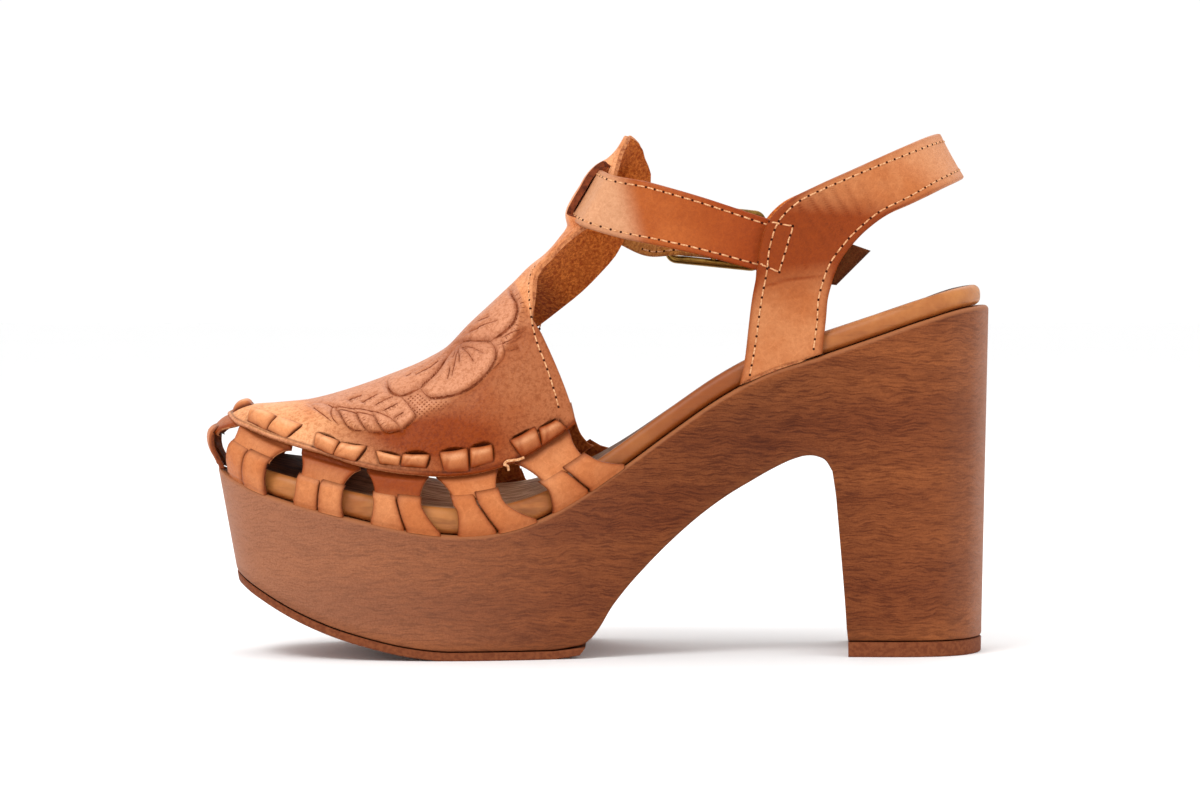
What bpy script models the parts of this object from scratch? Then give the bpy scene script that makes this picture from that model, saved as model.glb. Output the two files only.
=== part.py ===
"""Right heeled clog sandal: platform sole, footbed, laced T-strap upper, heel sling, ankle strap and buckle.

Tables are in millimetres. Toe points to -X, the medial side is -Y, the floor is z = 0.
"""

import math

import bpy
import numpy as np

MM = 0.001
GAP = 0.35
LEDGE = 2.6
CHAMFER = 1.4
OUTSOLE_THICK = 2.5
TOP_LIFT_THICK = 4.6
UPPER_WALL = 2.0
SLING_WALL = 2.2
STRAP_WALL = 2.0
BUCKLE_STRAP_WALL = 1.4
WIRE_RADIUS = 1.0
PRONG_RADIUS = 0.75

# Plan outline of the wood's top edge: x, medial y, lateral y
OUTLINE = (
    (-117.6, -8.0, -8.0),
    (-115.6, -20.5, 4.0),
    (-110.5, -29.0, 13.0),
    (-100.0, -36.8, 23.0),
    (-85.0, -42.2, 32.2),
    (-70.0, -45.0, 39.0),
    (-55.0, -46.0, 43.6),
    (-40.0, -45.6, 46.0),
    (-25.0, -43.0, 46.6),
    (-10.0, -38.8, 45.2),
    (5.0, -34.4, 42.0),
    (20.0, -31.0, 38.0),
    (35.0, -29.2, 34.8),
    (50.0, -29.2, 32.8),
    (65.0, -30.4, 32.2),
    (80.0, -31.8, 32.6),
    (95.0, -32.0, 32.2),
    (105.0, -29.8, 29.8),
    (113.0, -23.6, 23.6),
    (118.4, -13.0, 13.0),
    (120.2, 0.0, 0.0),
)
# Height of the wood's top edge: x, z
WOOD_TOP = (
    (-121.0, 61.5),
    (-117.0, 57.6),
    (-108.0, 52.6),
    (-93.0, 47.4),
    (-80.0, 44.2),
    (-69.0, 41.6),
    (-58.0, 39.4),
    (-48.0, 38.1),
    (-39.0, 37.8),
    (-29.0, 39.0),
    (-20.0, 41.6),
    (-8.0, 47.6),
    (4.0, 55.6),
    (22.0, 68.6),
    (35.0, 77.6),
    (43.0, 82.3),
    (51.0, 86.2),
    (67.0, 91.4),
    (81.0, 96.2),
    (99.0, 102.4),
    (110.0, 105.6),
    (121.0, 107.2),
)
# Tread line that meets the floor under the forefoot: x, z
ROCKER = (
    (-118.0, 28.5),
    (-111.0, 22.6),
    (-102.0, 17.0),
    (-93.0, 12.2),
    (-82.0, 7.6),
    (-70.0, 4.0),
    (-58.0, 1.3),
    (-46.0, 0.0),
    (-38.0, 0.0),
    (-26.0, 0.0),
    (-14.0, 0.0),
    (-5.0, 1.3),
)
# Underside of the arch and the heel breast: x, z
ARCH = (
    (-3.4, 5.2),
    (0.0, 9.2),
    (3.2, 14.6),
    (7.4, 20.2),
    (14.2, 27.8),
    (21.8, 35.4),
    (30.2, 42.8),
    (38.6, 49.0),
    (45.8, 53.4),
    (52.4, 57.2),
    (58.5, 60.1),
    (62.6, 61.2),
    (66.0, 60.9),
    (68.6, 59.4),
    (70.4, 56.4),
)
# Straight breast below the arch: x, z
BREAST = ((71.5, 49.0), (73.0, 32.0), (74.2, 18.0), (75.1, 5.0))
# How much further back the arch and the heel's front lie on the lateral side: x, setback
SETBACK = (
    (-121.0, 0.0),
    (-10.0, 0.0),
    (10.0, 0.0),
    (30.0, 0.4),
    (50.0, 1.8),
    (66.0, 3.6),
    (76.0, 3.6),
    (100.0, 0.8),
    (121.0, 0.0),
)
# How far a wall leans in per millimetre below the top edge: x, draft
DRAFT = (
    (-118.0, 0.185),
    (-106.0, 0.12),
    (-86.0, 0.06),
    (-40.0, 0.045),
    (10.0, 0.035),
    (60.0, 0.02),
    (121.0, 0.02),
)
# Footbed thickness: x, thick
FOOTBED = ((-120.0, 6.4), (-90.0, 7.4), (0.0, 7.4), (60.0, 6.8), (121.0, 6.3))
# How much lower the footbed is at its lateral edge: x, cant
CANT = (
    (-120.0, -1.4),
    (-95.0, -4.2),
    (-50.0, -4.4),
    (-20.0, -2.0),
    (5.0, 1.4),
    (60.0, 1.4),
    (100.0, 0.0),
    (121.0, 0.0),
)
# Footbed edge profile: inset, share of the thickness
ROLLED_EDGE = ((1.5, 0.0), (0.35, 0.14), (0.0, 0.45), (0.4, 0.78), (1.5, 0.96), (3.2, 1.0))
DISH = 1.1

# Inside of the vamp along its ridge: x, y, z
RIDGE = (
    (-97.0, -8.0, 74.6),
    (-89.0, -8.0, 75.8),
    (-77.0, -8.0, 79.1),
    (-64.5, -8.0, 83.5),
    (-52.0, -8.0, 88.8),
    (-46.0, -7.6, 92.4),
    (-39.2, -7.0, 99.4),
    (-33.0, -6.6, 105.2),
    (-26.6, -6.2, 111.2),
    (-20.8, -6.0, 116.6),
)
# Feather distance from the toe: at, ridge x it leads to, section fullness, tab edge height, bulge, sweep
COLUMNS = (
    (0.0, -97.0, 4.2, 14.6, 3.2, 1.0),
    (20.0, -96.0, 3.6, 15.4, 1.8, 1.0),
    (43.0, -89.0, 2.9, 15.2, 1.0, 1.0),
    (66.0, -73.0, 2.5, 14.8, 0.8, 1.4),
    (87.0, -54.0, 2.35, 16.6, 0.8, 2.0),
    (109.0, -38.5, 2.3, 18.6, 0.8, 2.3),
    (131.0, -25.4, 2.25, 21.2, 0.8, 2.5),
    (146.0, -25.4, 2.25, 21.2, 0.8, 2.5),
)
# Edge tabs by feather distance: at and half width at the top, the waist and the foot
TABS = (
    (0.0, 9.4, 0.0, 6.4, 0.0, 8.0),
    (32.0, 10.4, 28.0, 7.0, 25.5, 8.4),
    (55.2, 9.6, 52.6, 6.6, 51.8, 7.6),
    (76.4, 9.6, 75.8, 6.8, 77.4, 8.8),
    (98.0, 9.8, 100.0, 6.4, 105.6, 10.4),
    (121.8, 9.2, 126.6, 5.8, 133.2, 10.4),
)
LATERAL_REACH = 1.02
TAB_WAIST_AT = 0.5
T_BASE_HALF = {"medial": 22.0, "lateral": 36.0}

# T-strap: x, z, slope of the strap in degrees, y, then side reach and drop of its near and far edges
T_STRAP = (
    (-20.6, 117.2, 41.0, -6.0, 12.6, 2.4, 18.0, 14.4),
    (-15.6, 121.2, 45.0, -6.0, 11.6, 1.0, 16.0, 14.4),
    (-11.2, 125.8, 51.0, -6.0, 10.6, 0.9, 15.0, 14.6),
    (-7.0, 130.2, 55.0, -6.0, 10.0, 1.8, 14.6, 14.4),
    (-5.2, 132.6, 57.0, -6.0, 9.8, 3.0, 14.4, 14.0),
    (-3.0, 136.0, 58.0, -6.0, 9.6, 3.4, 14.4, 13.6),
    (-0.6, 139.8, 59.0, -6.0, 9.4, 3.0, 14.2, 13.4),
    (1.7, 143.6, 62.0, -6.0, 9.2, 2.4, 14.0, 13.2),
    (3.4, 146.6, 68.0, -6.0, 8.8, 1.8, 13.6, 12.6),
    (5.0, 150.2, 76.0, -6.0, 7.6, 1.2, 12.2, 11.2),
    (6.6, 153.4, 82.0, -6.0, 5.6, 0.6, 8.8, 7.4),
    (8.8, 157.2, 84.0, -5.6, 2.2, 0.2, 3.6, 3.0),
)
# Share of the bridge's rise at each T-strap row
BRIDGE_RISE = (0.0, 0.0, 0.0, 0.3, 1.0, 1.0, 1.0, 1.0, 1.0, 0.5, 0.0, 0.0)
SLIT_ROWS = (3, 9)
CROSSING_ROW = 6
SLIT_INNER = 0.5
SLIT_OUTER = 0.6
BRIDGE_HEIGHT = 5.3
STRAP_LIFT = 3.5

# Ankle strap, medial part from the quarter to the T-strap: x, y, z, lean of its width in degrees, width
ANKLE_MEDIAL = (
    (59.0, -27.3, 122.6, 74.0, 16.0),
    (50.0, -27.0, 125.0, 74.0, 16.0),
    (40.0, -27.6, 128.0, 74.0, 16.4),
    (29.0, -27.2, 131.4, 73.0, 16.8),
    (19.0, -24.8, 134.4, 71.0, 16.8),
    (11.0, -20.6, 136.8, 67.0, 16.6),
)
# Ankle strap, lateral part from the T-strap through the buckle to its tip
ANKLE_LATERAL = (
    (17.0, 20.6, 130.8, 76.0, 15.2),
    (20.4, 24.6, 130.2, 80.0, 14.2),
    (22.6, 25.7, 129.8, 82.0, 14.0),
    (25.4, 26.6, 129.5, 83.0, 14.0),
    (27.4, 28.2, 129.3, 84.0, 14.0),
    (32.2, 33.2, 128.9, 84.0, 14.0),
    (34.2, 34.6, 128.7, 84.0, 14.0),
    (36.9, 35.1, 128.4, 84.0, 14.0),
    (43.0, 35.7, 127.8, 84.0, 14.0),
    (51.0, 36.2, 126.8, 82.0, 14.0),
    (58.0, 35.4, 125.0, 78.0, 14.2),
    (66.0, 33.9, 122.6, 74.0, 14.4),
    (74.0, 33.6, 120.2, 62.0, 15.0),
    (80.6, 33.2, 118.4, 45.0, 15.4),
)
PRONG_HOLE = 5
# Heel sling rungs, front or upper edge then rear or lower edge: x, y, z of each
SLING = (
    (42.4, 0.0, 0.0, 67.2, 0.0, 0.0),
    (43.9, -27.4, 90.2, 68.4, -28.9, 101.6),
    (46.0, -29.0, 108.4, 69.6, -30.2, 111.4),
    (47.5, -30.0, 116.8, 72.6, -30.8, 119.9),
    (48.5, -30.6, 125.0, 78.2, -31.0, 127.2),
    (51.2, -31.0, 132.6, 83.4, -30.8, 131.8),
    (57.2, -31.2, 138.6, 88.0, -30.0, 134.8),
    (64.4, -31.0, 142.4, 93.4, -28.2, 137.2),
    (75.8, -29.4, 147.6, 99.0, -24.8, 139.8),
    (91.0, -22.4, 154.4, 104.6, -18.4, 142.4),
    (100.0, -12.4, 158.2, 109.6, -10.2, 144.6),
    (104.2, 0.0, 159.5, 111.9, 0.0, 145.6),
)
LATERAL_SETBACK = 4.0
# Buckle frame in plan: x and y of its front bar and its rear bar, z at both
FRAME_FRONT = (22.4, 28.2, 129.7)
FRAME_REAR = (51.0, 33.5, 126.8)
FRAME_HALF_HEIGHT = 8.4
FRAME_CORNER = 2.6


def hermite(knots, values, at):
    """Smooth curve through a table's points, without overshoot from uneven spacing."""
    knots = np.asarray(knots, float)
    values = np.asarray(values, float)
    at = np.clip(np.asarray(at, float), knots[0], knots[-1])
    step = np.diff(knots)
    rise = (np.diff(values, axis=0).T / step).T
    slope = np.empty_like(values)
    slope[0] = rise[0]
    slope[-1] = rise[-1]
    weight = (step[1:] / (step[1:] + step[:-1])).reshape((-1,) + (1,) * (values.ndim - 1))
    slope[1:-1] = rise[:-1] * weight + rise[1:] * (1 - weight)
    i = np.clip(np.searchsorted(knots, at) - 1, 0, len(step) - 1)
    h = step[i]
    t = (at - knots[i]) / h
    shape = t.shape + (1,) * (values.ndim - 1)
    h = h.reshape(shape)
    t = t.reshape(shape)
    start = (1 + 2 * t) * (1 - t) ** 2 * values[i] + t * (1 - t) ** 2 * h * slope[i]
    end = t * t * (3 - 2 * t) * values[i + 1] + t * t * (t - 1) * h * slope[i + 1]
    return start + end


def lookup(table, at):
    rows = np.array(table)
    return hermite(rows[:, 0], rows[:, 1], at)


def wood_top(x):
    return lookup(WOOD_TOP, x)


def tread_line(x):
    """The forefoot's tread, flat on the floor where it rests."""
    return max(0.0, float(lookup(ROCKER, x)))


def unit(vector):
    vector = np.asarray(vector, float)
    return vector / np.linalg.norm(vector, axis=-1, keepdims=True)


def dense_outline():
    """The plan outline as a closed smooth loop from the toe along the medial side and back."""
    rows = np.array(OUTLINE)
    medial = rows[:, [0, 1]]
    lateral = rows[1:-1, [0, 2]][::-1]
    loop = np.vstack([lateral[-3:], medial, lateral, medial[:3]])
    knots = np.r_[0, np.cumsum(np.linalg.norm(np.diff(loop, axis=0), axis=1))]
    first, last = knots[3], knots[-3]
    at = np.linspace(first, last, 1601)
    points = hermite(knots, loop, at)
    along = unit(np.gradient(points, at, axis=0))
    outward = np.stack([along[:, 1], -along[:, 0]], axis=1)
    heel = int(np.argmax(points[:, 0]))
    return points, outward, heel


POINTS, OUTWARD, HEEL_AT = dense_outline()
SIDES = {
    "medial": (POINTS[: HEEL_AT + 1], OUTWARD[: HEEL_AT + 1]),
    "lateral": (POINTS[HEEL_AT:][::-1], OUTWARD[HEEL_AT:][::-1]),
}
if np.mean(SIDES["medial"][1][:, 1]) > 0:
    SIDES = {side: (points, -outward) for side, (points, outward) in SIDES.items()}


def edge_at(side, x, inset=0.0):
    """Plan point of one side's outline at x, moved in by inset along the outline's own normal."""
    points, outward = SIDES[side]
    y = np.interp(x, points[:, 0], points[:, 1])
    normal = [np.interp(x, points[:, 0], outward[:, k]) for k in range(2)]
    return np.array([x - normal[0] * inset, y - normal[1] * inset])


def feather_at(side, distance, inset):
    """Plan point at a distance along the outline from the toe, moved in by inset."""
    points, outward = SIDES[side]
    run = np.r_[0, np.cumsum(np.linalg.norm(np.diff(points, axis=0), axis=1))]
    moved = points - outward * inset
    return np.array([np.interp(distance, run, moved[:, k]) for k in range(2)])


def make_object(name, points, faces, colour, roughness, metallic=0.0):
    mesh = bpy.data.meshes.new(name)
    mesh.from_pydata([tuple(np.asarray(p) * MM) for p in points], [], faces)
    mesh.update()
    obj = bpy.data.objects.new(name, mesh)
    PARTS.objects.link(obj)
    paint(obj, colour, roughness, metallic)
    return obj


def paint(obj, colour, roughness, metallic=0.0):
    material = bpy.data.materials.new(obj.name)
    material.use_nodes = True
    shader = material.node_tree.nodes["Principled BSDF"]
    shader.inputs["Base Color"].default_value = (*colour, 1)
    shader.inputs["Roughness"].default_value = roughness
    shader.inputs["Metallic"].default_value = metallic
    obj.data.materials.append(material)


def loft(name, rings, colour, roughness):
    """A closed solid through rings of equal length, with flat ends."""
    count = len(rings[0])
    points = [p for ring in rings for p in ring]
    faces = []
    for i in range(len(rings) - 1):
        for j in range(count):
            k = (j + 1) % count
            faces.append((i * count + j, (i + 1) * count + j, (i + 1) * count + k, i * count + k))
    faces.append(tuple(range(count)))
    faces.append(tuple(range((len(rings) - 1) * count, len(rings) * count))[::-1])
    obj = make_object(name, points, faces, colour, roughness)
    face_out(obj)
    return obj


def face_out(obj):
    """Turns a closed mesh right side out."""
    mesh = obj.data
    total = 0.0
    for face in mesh.polygons:
        corners = [mesh.vertices[i].co for i in face.vertices]
        for second, third in zip(corners[1:], corners[2:]):
            total += corners[0].dot(second.cross(third))
    if total < 0:
        mesh.flip_normals()


def sole_under(x):
    """Underside of the wood, above the rubber where there is rubber."""
    if x <= -5.2:
        return tread_line(x) + OUTSOLE_THICK + GAP
    if x <= ARCH[-1][0]:
        joined = ((-5.2, 1.3 + OUTSOLE_THICK + GAP),) + ARCH
        return float(lookup(joined, x))
    if x < BREAST[-1][0]:
        rows = np.array((ARCH[-1],) + BREAST)
        return float(np.interp(x, rows[:, 0], rows[:, 1]))
    return TOP_LIFT_THICK + GAP


def wall_point(side, x, z, inset=0.0):
    """A point on the sole's leaning side wall at height z."""
    lean = float(lookup(DRAFT, x)) * max(0.0, float(wood_top(x)) - z)
    plan = edge_at(side, x, inset + lean)
    return np.array([plan[0], plan[1], z])


def low_point(side, x, height):
    """Foot of the leaning wall, where it meets a line whose height is given by x."""
    z = height(x)
    for _ in range(4):
        point = wall_point(side, x, z)
        z = height(point[0])
    return wall_point(side, x, z)


def station(side, x):
    """Where a section that is at x on the medial side meets one of the sides."""
    return x + float(lookup(SETBACK, x)) if side == "lateral" else x


def spread(start, end, count, ends=(True, True)):
    """Stations packed closer towards a rounded end."""
    t = np.linspace(0, 1, count)
    if ends[0] and ends[1]:
        t = 0.5 - 0.5 * np.cos(np.pi * t)
    elif ends[0]:
        t = 1 - np.cos(np.pi / 2 * t)
    elif ends[1]:
        t = np.sin(np.pi / 2 * t)
    return start + (end - start) * t


TOE_X = float(POINTS[:, 0].min())
HEEL_X = float(POINTS[:, 0].max())


def build_sole():
    front = spread(TOE_X + 0.12, -40.0, 18, (True, False))
    middle = np.linspace(-36.0, 68.0, 30)
    breast = np.array([69.4, 70.4, 71.5, 73.0, 74.2, 75.1])
    heel = spread(77.5, HEEL_X - 0.1, 15, (False, True))
    rings = []
    for x in np.r_[front, middle, breast, heel]:
        ring = []
        for side in ("medial", "lateral"):
            at = station(side, x)
            height = float(wood_top(at))
            top = wall_point(side, at, height, CHAMFER)
            shoulder = wall_point(side, at, height - CHAMFER)
            low = low_point(side, at, lambda place: sole_under(place - at + x))
            half = wall_point(side, at, 0.5 * (height + low[2]))
            top[2] = float(wood_top(top[0]))
            column = [top, shoulder, half, low]
            ring += column if side == "medial" else column[::-1]
        rings.append(ring)
    return loft("platform_sole", rings, (0.26, 0.12, 0.06), 0.5)


def build_tread():
    """Rubber under the forefoot and under the heel."""
    front = spread(TOE_X + 0.12, -50.0, 16, (True, False))
    stations = np.r_[front, np.linspace(-46.0, -6.4, 10)]
    rings = []
    for x in stations:
        ring = []
        for side in ("medial", "lateral"):
            low = low_point(side, x, tread_line)
            column = [low_point(side, x, lambda at: tread_line(at) + OUTSOLE_THICK), low]
            ring += column if side == "medial" else column[::-1]
        rings.append(ring)
    loft("outsole_forefoot", rings, (0.16, 0.08, 0.05), 0.7)
    rings = []
    for x in np.r_[75.2, spread(78.5, HEEL_X - 0.1, 14, (False, True))]:
        ring = []
        for side in ("medial", "lateral"):
            at = station(side, x)
            column = [wall_point(side, at, TOP_LIFT_THICK), wall_point(side, at, 0.0)]
            ring += column if side == "medial" else column[::-1]
        rings.append(ring)
    loft("heel_top_lift", rings, (0.16, 0.08, 0.05), 0.7)


def build_insole():
    front = spread(TOE_X + 0.15, -60.0, 14, (True, False))
    middle = np.linspace(-54.0, 90.0, 26)
    rear = spread(94.0, HEEL_X - 0.15, 12, (False, True))
    rings = []
    for x in np.r_[front, middle, rear]:
        thick = float(lookup(FOOTBED, x))
        cant = float(lookup(CANT, x))
        ring = []
        tops = []
        for side in ("medial", "lateral"):
            column = []
            for inset, share in ROLLED_EDGE:
                plan = edge_at(side, x, LEDGE + inset)
                level = float(wood_top(plan[0])) + GAP + share * (thick - cant * (side == "lateral"))
                column.append(np.array([plan[0], plan[1], level]))
            tops.append(column[-1])
            ring.append(column)
        centre = 0.5 * (tops[0] + tops[1])
        width = np.linalg.norm(tops[0] - tops[1])
        centre[2] -= DISH * min(1.0, width / 45.0)
        rings.append(ring[0] + [centre] + ring[1][::-1])
    return loft("insole", rings, (0.5, 0.27, 0.1), 0.5)


def column_curve(side, distance, foot=None):
    """Inside of the upper from the wood's ledge up to the ridge, as even points with their run."""
    reach = LATERAL_REACH if side == "lateral" else 1.0
    rows = np.array(COLUMNS)
    ridge_x = np.interp(distance, rows[:, 0], rows[:, 1])
    full = float(hermite(rows[:, 0], rows[:, 2], distance))
    bulge = float(hermite(rows[:, 0], rows[:, 4], distance))
    ridge_rows = np.array(RIDGE)
    ridge = np.array([ridge_x, *hermite(ridge_rows[:, 0], ridge_rows[:, 1:], ridge_x)])
    plan = feather_at(side, distance * reach, LEDGE - GAP)
    outer = feather_at(side, distance * reach, 0.0)
    base = max(float(wood_top(plan[0])), float(wood_top(outer[0]))) + GAP
    angle = np.linspace(0, np.pi / 2, 241)
    out = np.cos(angle) ** (2 / full)
    up = np.sin(angle) ** (2 / full)
    points = np.empty((len(angle), 3))
    sweep = float(hermite(rows[:, 0], rows[:, 5], distance))
    points[:, 0] = ridge[0] + (plan[0] - ridge[0]) * out**sweep
    points[:, 1] = ridge[1] + (plan[1] - ridge[1]) * out
    points[:, 2] = base + (ridge[2] - base) * up
    outward = unit(plan - ridge[:2])
    height = np.clip((points[:, 2] - base) / 17.0, 0, 1)
    points[:, :2] += outward * (bulge * np.sin(np.pi * height) ** 2)[:, None]
    run = np.r_[0, np.cumsum(np.linalg.norm(np.diff(points, axis=0), axis=1))]
    return points, run, base


def on_column(curve, run_at):
    points, run, _ = curve
    return np.array([np.interp(run_at, run, points[:, k]) for k in range(3)])


def edge_run(curve, distance):
    """Run along a column from the ledge up to the vamp's lower edge."""
    points, run, base = curve
    rows = np.array(COLUMNS)
    height = float(hermite(rows[:, 0], rows[:, 3], distance))
    return float(np.interp(height, points[:, 2] - base, run))


TAB_CROSS = 4
TAB_ROWS = 7
VAMP_ROWS = 5
T_HALF_ROWS = 4


def vamp_columns():
    """Feather distances of the vamp's columns on one side, and the columns that each tab starts on."""
    distances, starts = [], []
    for index, (top, half, *_) in enumerate(TABS):
        if index == 0:
            distances += list(np.linspace(0, half, TAB_CROSS // 2 + 1))
            starts.append(0)
        else:
            starts.append(len(distances))
            distances += list(np.linspace(top - half, top + half, TAB_CROSS + 1))
    return distances, starts


def tab_half_width(tab, share):
    """Centre and half width of a tab at a share of the way from the vamp's edge down to the ledge."""
    top, top_half, waist, waist_half, foot, foot_half = tab
    if share <= TAB_WAIST_AT:
        t = share / TAB_WAIST_AT
        ease = 1 - (1 - t) ** 2.2
        return top + (waist - top) * t, top_half + (waist_half - top_half) * ease
    t = (share - TAB_WAIST_AT) / (1 - TAB_WAIST_AT)
    return waist + (foot - waist) * t, waist_half + (foot_half - waist_half) * t ** 1.4


def t_strap_point(row, across, lift=0.0):
    """Point of the T-strap at a share across it, from -1 at its near edge to 1 at its far edge."""
    x, z, slope, y, near_side, near_drop, far_side, far_drop = T_STRAP[row]
    slope = math.radians(slope)
    down = np.array([math.sin(slope), 0.0, -math.cos(slope)])
    side, drop = (near_side, near_drop) if across < 0 else (far_side, far_drop)
    share = abs(across)
    point = np.array([x, y + side * across, z]) + down * drop * (0.35 * share + 0.65 * share ** 2)
    tilt = drop * (0.35 + 1.3 * share) / side
    outward = unit(np.array([0, math.copysign(tilt, across), 0]) - down)
    return point + outward * lift


def t_across(row):
    even = np.linspace(-1, 1, 2 * T_HALF_ROWS + 1)
    split = np.array([-1, -SLIT_OUTER, -SLIT_INNER, -0.25, 0, 0.25, SLIT_INNER, SLIT_OUTER, 1])
    share = min(1.0, row / 2)
    return even + (split - even) * share


class Sheet:
    """An open surface of shared points."""

    def __init__(self):
        self.points = []
        self.faces = []

    def add(self, point):
        self.points.append(np.asarray(point, float))
        return len(self.points) - 1

    def quad(self, a, b, c, d):
        self.faces.append((a, b, c, d))


def add_vamp_side(sheet, side, ridge_ids, toe_ids):
    """One half of the vamp with its tabs. Returns the ids of the rear column, edge first."""
    distances, starts = vamp_columns()
    grid = []
    for j, distance in enumerate(distances):
        curve = column_curve(side, distance)
        low = edge_run(curve, distance)
        whole = curve[1][-1]
        t_half = min(T_BASE_HALF[side], 0.56 * (whole - low))
        lower = np.linspace(low, whole - t_half, VAMP_ROWS + 1)
        upper = np.linspace(whole - t_half, whole, T_HALF_ROWS + 1)
        runs = np.r_[lower, upper[1:]]
        if j == 0 and toe_ids:
            grid.append(toe_ids)
            continue
        ids = [sheet.add(on_column(curve, run)) for run in runs[:-1]]
        if j == len(ridge_ids):
            ridge_ids.append(sheet.add(on_column(curve, runs[-1])))
        ids.append(ridge_ids[j])
        grid.append(ids)
    if not toe_ids:
        toe_ids += grid[0]
    flip = side == "lateral"
    for j in range(len(grid) - 1):
        for k in range(len(grid[0]) - 1):
            corners = (grid[j][k], grid[j + 1][k], grid[j + 1][k + 1], grid[j][k + 1])
            sheet.quad(*(corners[::-1] if flip else corners))
    for index, tab in enumerate(TABS):
        if index:
            tops = [grid[starts[index] + c][0] for c in range(TAB_CROSS + 1)]
            add_tab(sheet, tab, tops, (side,) * (TAB_CROSS + 1), flip)
    return grid


def add_tab(sheet, tab, tops, sides, flip):
    shares = np.linspace(0, 1, TAB_ROWS + 1)
    rows = [tops]
    for share in shares[1:]:
        centre, half = tab_half_width(tab, share)
        row = []
        for c, side in enumerate(sides):
            distance = centre + half * (2 * c / TAB_CROSS - 1)
            curve = column_curve(side, abs(distance))
            low = edge_run(curve, abs(distance))
            row.append(sheet.add(on_column(curve, low * (1 - share))))
        rows.append(row)
    for upper, lower in zip(rows, rows[1:]):
        for c in range(TAB_CROSS):
            corners = (lower[c], lower[c + 1], upper[c + 1], upper[c])
            sheet.quad(*(corners[::-1] if flip else corners))


def add_t_strap(sheet, near, far):
    """Carries the vamp's ridge on as the T-strap, with two slits and a raised bridge between them."""
    last = [near[k] for k in range(VAMP_ROWS, len(near))]
    last += [far[k] for k in range(len(far) - 2, VAMP_ROWS - 1, -1)]
    for row in range(len(T_STRAP)):
        line = []
        for across in t_across(row):
            rise = BRIDGE_RISE[row] if abs(across) <= SLIT_INNER + 0.01 else 0.0
            line.append(sheet.add(t_strap_point(row, across, BRIDGE_HEIGHT * rise)))
        inside_slit = SLIT_ROWS[0] < row <= SLIT_ROWS[1]
        for c in range(len(line) - 1):
            if inside_slit and c in (1, len(line) - 3):
                continue
            sheet.quad(last[c], line[c], line[c + 1], last[c + 1])
        last = line


def solidify(obj, thickness, offset):
    modifier = obj.modifiers.new("wall", "SOLIDIFY")
    modifier.thickness = thickness * MM
    modifier.offset = offset
    modifier.use_even_offset = True
    modifier.use_quality_normals = True


def build_upper():
    sheet = Sheet()
    ridge_ids, toe_ids = [], []
    medial = add_vamp_side(sheet, "medial", ridge_ids, toe_ids)
    lateral = add_vamp_side(sheet, "lateral", ridge_ids, toe_ids)
    half = TAB_CROSS // 2
    tops = [medial[j][0] for j in range(half, 0, -1)] + [toe_ids[0]]
    tops += [lateral[j][0] for j in range(1, half + 1)]
    sides = ("medial",) * half + ("medial",) + ("lateral",) * half
    add_tab(sheet, TABS[0], tops, sides, True)
    add_t_strap(sheet, medial[-1], lateral[-1])
    obj = make_object("upper", sheet.points, sheet.faces, (0.55, 0.22, 0.09), 0.45)
    solidify(obj, UPPER_WALL, 1.0)
    return obj


def above_ledge(point):
    """Lifts a strap's point clear of the wood under it."""
    return np.array([point[0], point[1], max(point[2], float(wood_top(point[0])) + GAP + 0.3)])


def strip(name, rungs, across, wall, colour, drop=()):
    """A strap through rungs of (edge, other edge), with named quads left out as holes."""
    sheet = Sheet()
    last = None
    for i, (first, second) in enumerate(rungs):
        line = [sheet.add(above_ledge(first + (second - first) * t)) for t in across]
        if last:
            for c in range(len(line) - 1):
                if (i - 1, c) not in drop:
                    sheet.quad(last[c], line[c], line[c + 1], last[c + 1])
        last = line
    obj = make_object(name, sheet.points, sheet.faces, colour, 0.45)
    solidify(obj, wall, 0.0)
    return obj


def refine(rungs, per):
    """More rungs along a smooth path through the given ones."""
    rows = np.array([np.r_[a, b] for a, b in rungs])
    middle = 0.5 * (rows[:, :3] + rows[:, 3:])
    run = np.r_[0, np.cumsum(np.linalg.norm(np.diff(middle, axis=0), axis=1))]
    at = [run[0]]
    for start, end in zip(run, run[1:]):
        at += list(np.linspace(start, end, per + 1)[1:])
    smooth = hermite(run, rows, np.array(at))
    return [(row[:3], row[3:]) for row in smooth]


def build_sling():
    half = [(np.array(row[:3]), np.array(row[3:])) for row in SLING]
    medial, lateral = [], []
    for index, (front, rear) in enumerate(half):
        other_front, other_rear = front * (1, -1, 1), rear * (1, -1, 1)
        other_front[0] += LATERAL_SETBACK * max(0.0, 1 - index / 6)
        if index == 0:
            for point in (front, rear):
                plan = edge_at("medial", point[0], LEDGE - GAP - SLING_WALL / 2 - 0.45)
                point[:] = plan[0], plan[1], float(wood_top(plan[0])) + GAP
            for point in (other_front, other_rear):
                plan = edge_at("lateral", point[0], LEDGE - GAP - SLING_WALL / 2 - 0.45)
                point[:] = plan[0], plan[1], float(wood_top(plan[0])) + GAP
        if index == 1:
            for point, start in ((other_front, 31.6), (other_rear, 31.0)):
                point[1] = start
        medial.append((front, rear))
        lateral.append((other_front, other_rear))
    rungs = refine(medial + lateral[-2::-1], 2)
    return strip("heel_sling", rungs, (0, 0.25, 0.5, 0.75, 1), SLING_WALL, (0.55, 0.22, 0.09))


def width_rung(x, y, z, lean, width):
    up = np.array([math.cos(math.radians(lean)), 0, math.sin(math.radians(lean))])
    centre = np.array([x, y, z])
    return centre - up * width / 2, centre + up * width / 2


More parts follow.
